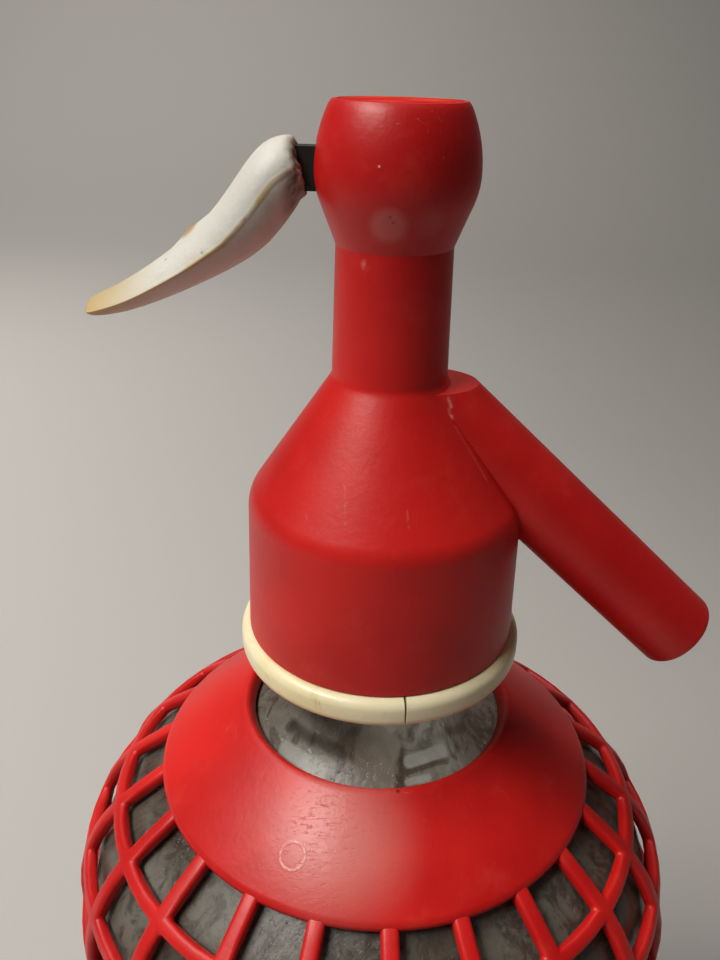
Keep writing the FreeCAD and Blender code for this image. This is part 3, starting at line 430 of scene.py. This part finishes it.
for face in mesh.faces:
    centre = face.calc_center_median()
    angle = math.degrees(math.atan2(centre.y, centre.x))
    off_rib = abs((angle + sector / 2) % sector - sector / 2)
    row_height = centre.z / MM
    rows = [i for i, travel in enumerate(travels[:-1])
            if on_basket(travel)[1] <= row_height <= on_basket(travels[i + 1])[1]]
    radius = math.hypot(centre.x, centre.y) / MM
    face.select = off_rib > math.degrees(RIB_WIDTH * 0.6 / radius) and is_window_row[rows[0]]
bmesh.update_edit_mesh(basket_mesh.data)
bpy.ops.mesh.select_mode(type="FACE")
bpy.ops.mesh.delete(type="FACE")
bpy.ops.mesh.select_mode(type="VERT")
bpy.ops.mesh.select_all(action="SELECT")
bpy.ops.transform.rotate(value=-math.radians(RIB_TURN), orient_axis="Z", center_override=(0, 0, 0))
bpy.ops.mesh.normals_make_consistent(inside=False)
bpy.ops.object.mode_set(mode="OBJECT")
bpy.ops.object.transform_apply(location=True, rotation=True, scale=True)
finish_with(basket_mesh, "SOLIDIFY", thickness=RIB_WALL * MM, offset=-1, use_even_offset=True)
finish_with(basket_mesh, "BEVEL", width=RIB_ROUND * MM, segments=3, limit_method="ANGLE",
            angle_limit=math.radians(50))
bpy.ops.object.shade_smooth_by_angle(angle=math.radians(70))
basket_mesh.select_set(False)

collar_top = collar_travel + (COLLAR_EDGE - COLLAR_HOLE) / math.cos(math.radians(CONE_SLOPE))
slope = math.radians(CONE_SLOPE)
out = (math.sin(slope), math.cos(slope))


def on_collar(travel, proud):
    """A stop on the collar, standing proud of the basket's outside."""
    radius, height = on_basket(travel)
    return radius + out[0] * proud, height + out[1] * proud


collar_stops = [
    on_collar(collar_travel + 0.2, -COLLAR_WALL), on_collar(collar_travel, -0.9),
    on_collar(collar_travel + 0.15, -0.3), on_collar(collar_travel + 0.6, 0.12),
    on_collar(collar_travel + 1.5, 0.28), on_collar((collar_travel + collar_top) / 2, COLLAR_PROUD),
    on_collar(collar_top - 1.4, COLLAR_PROUD), on_collar(collar_top - 0.5, 0.22),
    on_collar(collar_top - 0.1, -0.1), on_collar(collar_top, -0.6), on_collar(collar_top, -2.0),
    on_collar(collar_top - 0.4, -COLLAR_WALL), on_collar(collar_travel + 0.2, -COLLAR_WALL)]
collar = settle(lathe("basket_collar", collar_stops, 128), 50)
band_out, band_in = BODY_RADIUS + BAND_PROUD, BODY_RADIUS - BAND_WALL
band = settle(lathe("basket_band", [
    (band_in, BAND_FOOT), (band_out - 0.3, BAND_FOOT), (band_out, BAND_FOOT + 0.3),
    (band_out, BAND_TOP - 0.7), (band_out - 0.25, BAND_TOP - 0.2), (band_out - 0.8, BAND_TOP),
    (band_in + 0.4, BAND_TOP), (band_in, BAND_TOP - 0.4), (band_in, BAND_FOOT)]))
for piece in (basket_mesh, collar, band):
    piece.data.materials.append(red_plastic)
    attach(piece, "siphon")
    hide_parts("mesh_basket")

# The split ring: two ivory halves round the bottle's neck, held together by the head that
# screws over them. Each is a half turn of one outline, with a fine slit between.
IVORY = (0.78, 0.68, 0.38, 1)
IVORY_PALE = (0.87, 0.80, 0.54, 1)
IVORY_BROWN = (0.30, 0.17, 0.06, 1)
ivory, ivory_shader, place = new_material("ivory_plastic")
aged = place.noise(60, 3, 0.55, seed=2.4).over(0.35, 0.7)
stain = place.noise(210, 5, 0.65, 0.6, seed=6.2).over(0.58, 0.78)
grit = place.noise(1300, 3, 0.6, seed=1.2)
yellowed = aged.blend(IVORY_PALE, IVORY)
RING_HAIRLINE = ((-8.7, -21.6, 215.2), (-8.1, -22.0, 211.4))
hairline = place.streak(*RING_HAIRLINE, 0.02, 0.12)
SLIT_DIRT = (3.9, -22.7, 212.4)
soiled = stain * 0.5 + hairline * 0.6 + place.near(SLIT_DIRT, 0.3, 1.6) * aged * 0.5
feed(ivory_shader, Base_Color=soiled.sum("MINIMUM", soiled, 1.0).blend(yellowed, IVORY_BROWN),
     Roughness=0.30 + stain * 0.25, Normal=bumps(grit * 0.6 + stain, 0.2, 0.0003),
     Subsurface_Weight=0.12, Subsurface_Radius=(0.9, 0.6, 0.3), Subsurface_Scale=0.002)
RING_RADIUS, RING_FOOT, RING_ROUND, SKIRT_DROP = 23.3, 4.8, 1.6, 10.5
skirt_bottom = LIP_HEIGHT - SKIRT_DROP
ring_bottom = skirt_bottom - RING_FOOT
THREAD_OUT, THREAD_ROOT, THREAD_FIRST, THREAD_PITCH = 19.1, 18.4, 1.5, 3.0
THREAD_FLANK, THREAD_CREST, THREAD_TURNS = 0.6, 0.8, 2
RING_AZIMUTH, RING_SLIT, RING_GAP, RING_UNDER_LIP = 11.0, 0.4, 0.4, 0.7
ring_stops = [(NECK_RADIUS + RING_GAP, ring_bottom + RING_GAP), (NECK_RADIUS + 2 * RING_GAP, ring_bottom)]
ring_stops += arc((RING_RADIUS - RING_ROUND, ring_bottom + RING_ROUND), RING_ROUND, -90, 0, 7)
ring_stops += arc((RING_RADIUS - RING_ROUND, skirt_bottom - RING_ROUND), RING_ROUND, 0, 88, 7)
ring_stops += [(THREAD_ROOT, skirt_bottom - 0.02)]
for turn in range(THREAD_TURNS):
    foot = skirt_bottom + THREAD_FIRST + THREAD_PITCH * turn
    ring_stops += [(THREAD_ROOT, foot), (THREAD_OUT, foot + THREAD_FLANK),
                   (THREAD_OUT, foot + THREAD_FLANK + THREAD_CREST),
                   (THREAD_ROOT, foot + 2 * THREAD_FLANK + THREAD_CREST)]
ring_stops += [(THREAD_ROOT, LIP_HEIGHT - RING_UNDER_LIP),
               (BEAD_RADIUS + RING_GAP, LIP_HEIGHT - RING_UNDER_LIP),
               (BEAD_RADIUS + RING_GAP, LIP_HEIGHT - BEAD_TALL),
               (NECK_RADIUS + RING_GAP, LIP_HEIGHT - BEAD_UNDER - 0.3),
               (NECK_RADIUS + RING_GAP, ring_bottom + RING_GAP)]
for name, azimuth in (("split_ring_right", RING_AZIMUTH), ("split_ring_left", RING_AZIMUTH + 180)):
    half = lathe(f"{name}_half", ring_stops, 128)
    bpy.ops.mesh.select_all(action="SELECT")
    bpy.ops.mesh.remove_doubles(threshold=MERGE_GAP * MM)
    towards = Vector((math.cos(math.radians(azimuth)), math.sin(math.radians(azimuth)), 0))
    bpy.ops.mesh.select_all(action="SELECT")
    bpy.ops.mesh.bisect(plane_co=towards * (RING_SLIT / 2 * MM), plane_no=towards,
                        clear_inner=True, use_fill=True)
    settle(half, 40)
    half.data.materials.append(ivory)
    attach(half, "siphon")
    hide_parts(name)

# The head: one red moulding, turned in the mould with its skirt, cone, neck and ball, and with
# the spout grown out of its cone. The lever's slot is cut in the ball's side.
SKIRT_RADIUS, SKIRT_TOP, SKIRT_WALL = 21.9, 21.5, 2.0
EDGE_RISE, EDGE_ROUND, NECK_FOOT, NECK_FOOT_RISE = 12.8, 6.0, 8.6, 32.3
NECK_TOP, NECK_TOP_RISE, BALL_FOOT_RISE = 8.28, 51.3, 56.4
BALL_RADIUS, BALL_RISE, BALL_UNDER, BALL_OVER = 11.3, 61.0, 11.1, 18.7
RIM_RADIUS, RIM_RISE, CAP_ROOM, CAP_THICK = 9.1, 69.8, 8.3, 2.6
SKIRT_ROOF, NECK_ROOM, BALL_ROOM, BALL_FLOOR = 5.5, 5.6, 7.6, 54.6
NECK_BEND, NECK_BEND_RISE, NECK_SLIM, NECK_SLIM_RISE = 8.5, 38, 8.39, 45
lip = LIP_HEIGHT
cone_lean = math.degrees(math.atan((NECK_FOOT_RISE - EDGE_RISE) / (SKIRT_TOP - NECK_FOOT)))
edge_reach = EDGE_ROUND * math.tan(math.radians((90 - cone_lean) / 2))
ball_low = math.degrees(math.asin((BALL_RISE - BALL_FOOT_RISE) / BALL_UNDER))
ball_high = math.degrees(math.asin((RIM_RISE - BALL_RISE) / BALL_OVER))
head_stops = [(SKIRT_TOP - SKIRT_WALL, lip + SKIRT_ROOF), (SKIRT_TOP - SKIRT_WALL, skirt_bottom + 0.3),
              (SKIRT_TOP - SKIRT_WALL + 0.3, skirt_bottom), (SKIRT_RADIUS - 0.35, skirt_bottom),
              (SKIRT_RADIUS, skirt_bottom + 0.35), (SKIRT_RADIUS - 0.1, skirt_bottom + 5)]
head_stops += arc((SKIRT_TOP - EDGE_ROUND, lip + EDGE_RISE - edge_reach), EDGE_ROUND,
                  0, 90 - cone_lean, 8)
head_stops += [(NECK_FOOT + 0.52, lip + NECK_FOOT_RISE - 0.79),
               (NECK_FOOT + 0.24, lip + NECK_FOOT_RISE - 0.33),
               (NECK_FOOT + 0.08, lip + NECK_FOOT_RISE + 0.03),
               (NECK_FOOT, lip + NECK_FOOT_RISE + 0.45),
               (NECK_BEND, lip + NECK_BEND_RISE), (NECK_SLIM, lip + NECK_SLIM_RISE),
               (NECK_TOP, lip + NECK_TOP_RISE)]
head_stops += arc((BALL_RADIUS - BALL_UNDER, lip + BALL_RISE), BALL_UNDER, -ball_low, 0, 8)
head_stops += arc((BALL_RADIUS - BALL_OVER, lip + BALL_RISE), BALL_OVER, 0, ball_high, 12)[1:-1]
head_stops += [(RIM_RADIUS + 0.08, lip + RIM_RISE - 0.3), (RIM_RADIUS - 0.12, lip + RIM_RISE - 0.05),
               (RIM_RADIUS - 0.4, lip + RIM_RISE), (CAP_ROOM + 0.05, lip + RIM_RISE - 0.02),
               (CAP_ROOM, lip + RIM_RISE - 0.15), (CAP_ROOM, lip + RIM_RISE - CAP_THICK),
               (BALL_ROOM, lip + RIM_RISE - CAP_THICK), (BALL_ROOM, lip + BALL_FLOOR),
               (NECK_ROOM, lip + BALL_FLOOR), (NECK_ROOM, lip + SKIRT_ROOF),
               (SKIRT_TOP - SKIRT_WALL, lip + SKIRT_ROOF)]
head = settle(lathe("head_moulding", head_stops, 160))

SPOUT_RADIUS, SPOUT_SLOPE, SPOUT_RISE, SPOUT_LENGTH, SPOUT_ROUND = 6.7, 42.5, 34.6, 68.0, 0.9
SHELF_RISE, SHELF_CUT, NOZZLE_RADIUS, NOZZLE_LENGTH = 31.5, 50.0, 4.7, 16.0
spout_start = Vector((0, 0, (lip + SPOUT_RISE) * MM))
spout_turn = Euler((0, math.radians(90 + SPOUT_SLOPE), 0)).to_matrix().to_4x4()
spout_stops = [(0.01, 0), (SPOUT_RADIUS, 0)]
spout_stops += [(SPOUT_RADIUS, SPOUT_LENGTH * i / 6) for i in range(1, 6)]
spout_stops += arc((SPOUT_RADIUS - SPOUT_ROUND, SPOUT_LENGTH - SPOUT_ROUND), SPOUT_ROUND, 0, 90, 6)
spout_stops += [(NOZZLE_RADIUS + 0.3, SPOUT_LENGTH), (NOZZLE_RADIUS, SPOUT_LENGTH - 0.3),
                (NOZZLE_RADIUS, SPOUT_LENGTH - NOZZLE_LENGTH),
                (0.01, SPOUT_LENGTH - NOZZLE_LENGTH)]
spout = settle(lathe("spout_tube", spout_stops, 96))
spout.data.transform(Matrix.Translation(spout_start) @ spout_turn)
bpy.ops.mesh.primitive_cube_add(size=SHELF_CUT * MM,
                                location=(0, 0, (lip + SHELF_RISE + SHELF_CUT / 2) * MM))
above_shelf = bpy.context.object
finish_with(spout, "BOOLEAN", operation="DIFFERENCE", object=above_shelf, solver="EXACT")
bpy.data.objects.remove(above_shelf)
finish_with(head, "BOOLEAN", operation="UNION", object=spout, solver="EXACT")
bpy.data.objects.remove(spout)
SLOT_HALF, SLOT_DOWN, SLOT_UP, PIVOT_RISE = 1.85, 4.8, 3.4, 61.05
SLOT_OUT, SLOT_DEEP = 11.0, 9.0
bpy.ops.mesh.primitive_cube_add(size=1, location=(
    -SLOT_OUT * MM, 0, (lip + PIVOT_RISE + (SLOT_UP - SLOT_DOWN) / 2) * MM))
slot_cutter = bpy.context.object
slot_cutter.scale = (SLOT_DEEP * MM, 2 * SLOT_HALF * MM, (SLOT_UP + SLOT_DOWN) * MM)
bpy.context.view_layer.update()
finish_with(head, "BOOLEAN", operation="DIFFERENCE", object=slot_cutter, solver="EXACT")
bpy.data.objects.remove(slot_cutter)
bpy.ops.object.select_all(action="DESELECT")
head.select_set(True)
bpy.context.view_layer.objects.active = head
bpy.ops.object.shade_smooth_by_angle(angle=math.radians(14))
head.data.materials.append(red_plastic)
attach(head, "siphon")
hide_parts("head_shell")

# The plug in the ball's top: a red disc, matted by handling. It is pressed in and lies flush
# with the rim.
CAP_FLAT = 5.0
cap_top = lip + RIM_RISE
cap_stops = [(0.01, cap_top - CAP_THICK), (CAP_ROOM - 0.1, cap_top - CAP_THICK),
             (CAP_ROOM - 0.03, cap_top - 0.25), (CAP_ROOM - 0.08, cap_top - 0.05),
             (CAP_FLAT, cap_top), (0.01, cap_top + 0.05)]
top_cap = settle(lathe("top_plug", cap_stops))
plug_red, plug_shader, place = new_material("plug_red")
matted = place.noise(160, 4, 0.6, seed=2.9)
feed(plug_shader, Base_Color=matted.over(0.4, 0.7).blend(RED_DEEP, RED_CHALK),
     Roughness=0.62 + matted * 0.2, Specular_IOR_Level=0.06,
     Normal=bumps(place.noise(1200, 3) + matted, 0.2, 0.0003))
top_cap.data.materials.append(plug_red)
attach(top_cap, "siphon")
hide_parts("top_cap")

# What is in the glass and in the head: the milky dip tube in its ivory socket, the nozzle bush
# and the turned brass and steel parts of the valve, which keep their own shapes.
TUBE_MILK, TUBE_FILM = (0.55, 0.52, 0.44, 1), (0.42, 0.38, 0.31, 1)
BRASS_BRIGHT, BRASS_TARNISH = (0.68, 0.48, 0.20, 1), (0.30, 0.20, 0.09, 1)
STEEL_DARK, STEEL_STAIN = (0.045, 0.043, 0.038, 1), (0.020, 0.022, 0.018, 1)
milky, milky_shader, place = new_material("clear_plastic")
film = place.stretched(1, 1, 0.3).noise(120, 4, 0.6)
feed(milky_shader, Base_Color=film.over(0.35, 0.7).blend(TUBE_MILK, TUBE_FILM),
     Roughness=0.34 + film * 0.15, Normal=bumps(film, 0.1, 0.0003),
     Transmission_Weight=0.35)
brass, brass_shader, place = new_material("brass")
tarnish = place.noise(300, 4, 0.6).over(0.4, 0.75)
feed(brass_shader, Base_Color=tarnish.blend(BRASS_BRIGHT, BRASS_TARNISH),
     Metallic=1 - tarnish * 0.3, Roughness=0.3 + tarnish * 0.25,
     Normal=bumps(place.stretched(1, 1, 12).noise(600, 2), 0.12, 0.0001))
steel, steel_shader, place = new_material("steel")
stained = place.noise(420, 5, 0.65, seed=3.0).over(0.42, 0.7)
feed(steel_shader, Base_Color=stained.blend(STEEL_DARK, STEEL_STAIN),
     Metallic=0.75 - stained * 0.35, Roughness=0.42 + stained * 0.25,
     Normal=bumps(place.noise(1600, 3) + stained, 0.25, 0.0002))
for node, finish in (("dip_tube", milky), ("tube_socket", ivory), ("nozzle_bush", ivory),
                     ("valve_seat", brass), ("valve_stem", brass), ("gland_bush", brass),
                     ("spring_washer", brass), ("lever_carrier", brass), ("pivot_pin", steel),
                     ("lever_arm", steel)):
    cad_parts[node].data.materials.clear()
    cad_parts[node].data.materials.append(finish)

# The return spring: round wire wound about the stem. It is wound again here, up towards the
# stop above it.
SPRING_RADIUS, SPRING_WIRE, SPRING_TURNS, SPRING_FOOT, SPRING_HEAD = 3.6, 0.4, 6, 268.3, 280.5
coil_rise = SPRING_HEAD - SPRING_FOOT - 2 * SPRING_WIRE
bpy.ops.mesh.primitive_circle_add(vertices=10, radius=SPRING_WIRE * MM, location=(0, 0, 0))
spring = start_piece("return_spring_coil")
bpy.ops.transform.rotate(value=math.radians(90), orient_axis="X", center_override=(0, 0, 0))
bpy.ops.transform.translate(value=(SPRING_RADIUS * MM, 0, (SPRING_FOOT + SPRING_WIRE) * MM))
bpy.ops.object.mode_set(mode="OBJECT")
finish_with(spring, "SCREW", iterations=SPRING_TURNS, steps=24, render_steps=24,
            screw_offset=coil_rise / SPRING_TURNS * MM)
bpy.ops.object.mode_set(mode="EDIT")
bpy.ops.mesh.select_all(action="SELECT")
bpy.ops.mesh.fill_holes(sides=0)
settle(spring, 60)
spring.data.materials.append(steel)
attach(spring, "siphon")
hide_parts("return_spring")
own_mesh(spring)

# The grip: an ivory horn moulded over the arm's tail, with the mould's parting ridge along
# both sides, chewed and dirty at its inner end. Each row gives a section's distance out from
# the pivot and down from it, its height, its width and its lean.
GRIP = [(12.9, -0.3, 6.9, 7.6, 15), (13.3, -0.6, 7.7, 8.8, 15), (16.3, 1.4, 10.7, 10.6, 20),
        (19.3, 5.3, 10.2, 11.6, 24), (23.1, 9.6, 7.9, 11.4, 38), (29.4, 13.8, 6.1, 11.0, 37),
        (37.5, 18.2, 4.4, 10.2, 30), (43.0, 19.9, 3.0, 8.6, 16), (43.9, 20.05, 2.0, 7.4, 14)]
pivot_height = lip + PIVOT_RISE
RIDGE_HALF, GRIP_STEPS = 0.06, 32
grip = None
for out_by, down_by, tall, wide, lean in GRIP:
    bpy.ops.mesh.primitive_circle_add(vertices=GRIP_STEPS, radius=wide / 2 * MM, location=(0, 0, 0))
    if grip is None:
        grip = start_piece("grip_horn")
    swell = (wide ** 2 + tall ** 2) / (4 * tall)
    mesh = bmesh.from_edit_mesh(grip.data)
    for vertex in mesh.verts:
        if vertex.select and abs(vertex.co.x) > 0.01 * MM:
            lift = math.sqrt(swell ** 2 - (vertex.co.y / MM) ** 2) - swell + tall / 2
            vertex.co.x = math.copysign(max(lift, RIDGE_HALF) * MM, vertex.co.x)
    bmesh.update_edit_mesh(grip.data)
    bpy.ops.transform.rotate(value=math.radians(90 + lean), orient_axis="Y",
                             center_override=(0, 0, 0))
    bpy.ops.transform.translate(value=(-out_by * MM, 0, (pivot_height - down_by) * MM))
bpy.ops.mesh.select_all(action="SELECT")
bpy.ops.mesh.bridge_edge_loops()
bpy.ops.mesh.select_all(action="SELECT")
bpy.ops.mesh.fill_holes(sides=0)
settle(grip, 50)
finish_with(grip, "SUBSURF", levels=2, render_levels=2)
CHIP, CHIP_REACH, CHIP_LIFT = (-28.6, -0.4, 278.4), 2.9, 0.75
CHEWED_FROM, CHEWED_OVER, CHEWED_DEPTH, BITES_PER_MM = -14.6, 1.5, 0.40, 1.1
for vertex in grip.data.vertices:
    spot = vertex.co / MM
    chewed = min(max((spot.x - CHEWED_FROM) / CHEWED_OVER, 0), 1)
    bite = chewed * (noise.noise(spot * BITES_PER_MM) - 0.1) * CHEWED_DEPTH
    flake = max(1 - (spot - Vector(CHIP)).length / CHIP_REACH, 0) * CHIP_LIFT
    vertex.co += vertex.normal * ((bite + flake) * MM)
HORN_WHITE, HORN_CREAM = (0.58, 0.57, 0.52, 1), (0.44, 0.32, 0.12, 1)
HORN_YELLOW, HORN_DIRT, HORN_CHIP = (0.46, 0.34, 0.13, 1), (0.085, 0.075, 0.042, 1), (0.36, 0.20, 0.06, 1)
HORN_SPECKS = ((-31.6, -2.8, 274.7), (-31.2, -3.0, 274.3), (-19.9, -5.8, 280.9), (-26.0, -5.4, 276.3))
horn, horn_shader, place = new_material("grip_ivory")
outward = place.node("ShaderNodeSeparateXYZ", output=0, Vector=place)
mottled = place.noise(190, 4, 0.62, 0.5, seed=3.7)
grain = place.noise(1400, 3, 0.6, seed=8.3)
towards_tip = 1 - outward.over(-43 * MM, -31 * MM)
colour = (towards_tip * 0.9 + mottled.over(0.5, 0.75) * 0.3).blend(HORN_WHITE, HORN_CREAM)
folded = place.vector("ABSOLUTE", (0, 0, 0))
ridge = 0
for before, after in zip(GRIP[1:], GRIP[2:]):
    start, end = [(out_by, wide / 2, pivot_height - down_by)
                  for out_by, down_by, tall, wide, lean in (before, after)]
    part = folded.streak(start, end, 0.12, 0.55)
    ridge = part.sum("MAXIMUM", part, ridge)
colour = (ridge * (0.25 + mottled.over(0.36, 0.6) * 0.65)).blend(colour, HORN_YELLOW)
colour = (place.near(CHIP, 0.9, 1.2) * 0.9).blend(colour, HORN_CHIP)
soil = outward.over(-15.6 * MM, -13.4 * MM) * (0.25 + mottled.over(0.38, 0.58) * 0.75)
for speck in HORN_SPECKS:
    soil = soil + place.near(speck, 0.05, 0.35) * 0.45
colour = soil.sum("MINIMUM", soil, 1.0).blend(colour, HORN_DIRT)
feed(horn_shader, Base_Color=colour, Roughness=0.40 + mottled * 0.2 + soil * 0.3,
     Normal=bumps(mottled * 1.2 + grain * 0.3 - soil * 0.8 + ridge * 0.8, 0.25, 0.0005),
     Subsurface_Weight=0.15, Subsurface_Radius=(0.9, 0.7, 0.45), Subsurface_Scale=0.002)
grip.data.materials.append(horn)
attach(grip, "lever")
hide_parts("lever_grip")

# The floor and the wall behind it: one pale, plain sheet, drawn up at its back edge and
# rounded there.
FLOOR_WIDE, FLOOR_DEEP, WALL_HIGH, COVE_ROUND, COVE_STEPS = 7, 5, 3.5, 1.2, 32
FLOOR_PALE = (0.40, 0.385, 0.365, 1)
bpy.ops.mesh.primitive_plane_add(size=1, location=(0, 0, 0))
floor = start_piece("floor")
bpy.ops.transform.resize(value=(FLOOR_WIDE, FLOOR_DEEP, 1))
bpy.ops.mesh.select_all(action="DESELECT")
mesh = bmesh.from_edit_mesh(floor.data)
for edge in mesh.edges:
    edge.select = all(vertex.co.y > 0.4 for vertex in edge.verts)
bmesh.update_edit_mesh(floor.data)
bpy.ops.mesh.extrude_edges_move(TRANSFORM_OT_translate={"value": (0, 0, WALL_HIGH)})
bpy.ops.object.mode_set(mode="OBJECT")
bpy.ops.object.transform_apply(location=True, rotation=True, scale=True)
finish_with(floor, "BEVEL", width=COVE_ROUND, segments=COVE_STEPS, limit_method="ANGLE")
bpy.ops.object.shade_smooth()
sheet, sheet_shader, place = new_material("pale_floor")
feed(sheet_shader, Base_Color=FLOOR_PALE, Roughness=0.75)
floor.data.materials.append(sheet)

# Soft studio light: a broad warm lamp and a small one from the left and above, a faint one
# overhead, and two that wash the wall and the floor's left side.
WORLD_TONE, WORLD_STRENGTH = (0.80, 0.79, 0.77, 1), 0.08


def lamp(name, place, size, power, colour, aim=(0, 0, 0.2), spread=180):
    """A square lamp at a place, turned to its aim, with its cone of light in degrees."""
    data = bpy.data.lights.new(name, "AREA")
    data.spread = math.radians(spread)
    data.size = size
    data.energy = power
    data.color = colour
    made = bpy.data.objects.new(name, data)
    bpy.context.scene.collection.objects.link(made)
    made.location = place
    made.rotation_euler = (Vector(aim) - Vector(place)).to_track_quat("-Z", "Y").to_euler()


lamp("key", (-0.72, -0.36, 1.22), 0.40, 9.8, (1.0, 0.95, 0.88))
lamp("window", (-0.46, -0.52, 1.08), 0.20, 3.2, (1.0, 0.96, 0.92))
lamp("overhead", (0.15, 0.30, 1.35), 0.30, 0.30, (1.0, 0.95, 0.90), spread=50)
lamp("wall_wash", (-1.2, 0.8, 2.2), 1.4, 12, (1.0, 0.97, 0.92), aim=(-0.3, 2.0, 0.1), spread=88)
lamp("floor_wash", (-0.88, 0.36, 0.92), 1.2, 4.8, (1.0, 0.97, 0.95), aim=(-0.70, 0.36, 0), spread=84)
world = bpy.data.worlds.new("studio")
bpy.context.scene.world = world
world.use_nodes = True
background = world.node_tree.nodes["Background"]
background.inputs["Color"].default_value = WORLD_TONE
background.inputs["Strength"].default_value = WORLD_STRENGTH

# The camera, at the photograph's place: close in front of the siphon, a little above its top
# and looking down at the head.
CAMERA_PLACE = (0, -0.12401, 0.30142)
CAMERA_PITCH, CAMERA_ROLL, CAMERA_YAW = 26.14, 1.49, 1.84
CAMERA_LENS, CAMERA_SENSOR, CAMERA_NEAR = 32.85, 36, 0.01
camera_data = bpy.data.cameras.new("camera")
camera_data.lens = CAMERA_LENS
camera_data.sensor_width = CAMERA_SENSOR
camera_data.clip_start = CAMERA_NEAR
camera = bpy.data.objects.new("camera", camera_data)
bpy.context.scene.collection.objects.link(camera)
camera.matrix_world = (Matrix.Translation(CAMERA_PLACE)
                       @ Matrix.Rotation(math.radians(CAMERA_YAW), 4, "Z")
                       @ Matrix.Rotation(math.radians(90 - CAMERA_PITCH), 4, "X")
                       @ Matrix.Rotation(math.radians(CAMERA_ROLL), 4, "Z"))
bpy.context.scene.camera = camera
bpy.context.scene.view_settings.view_transform = "Standard"
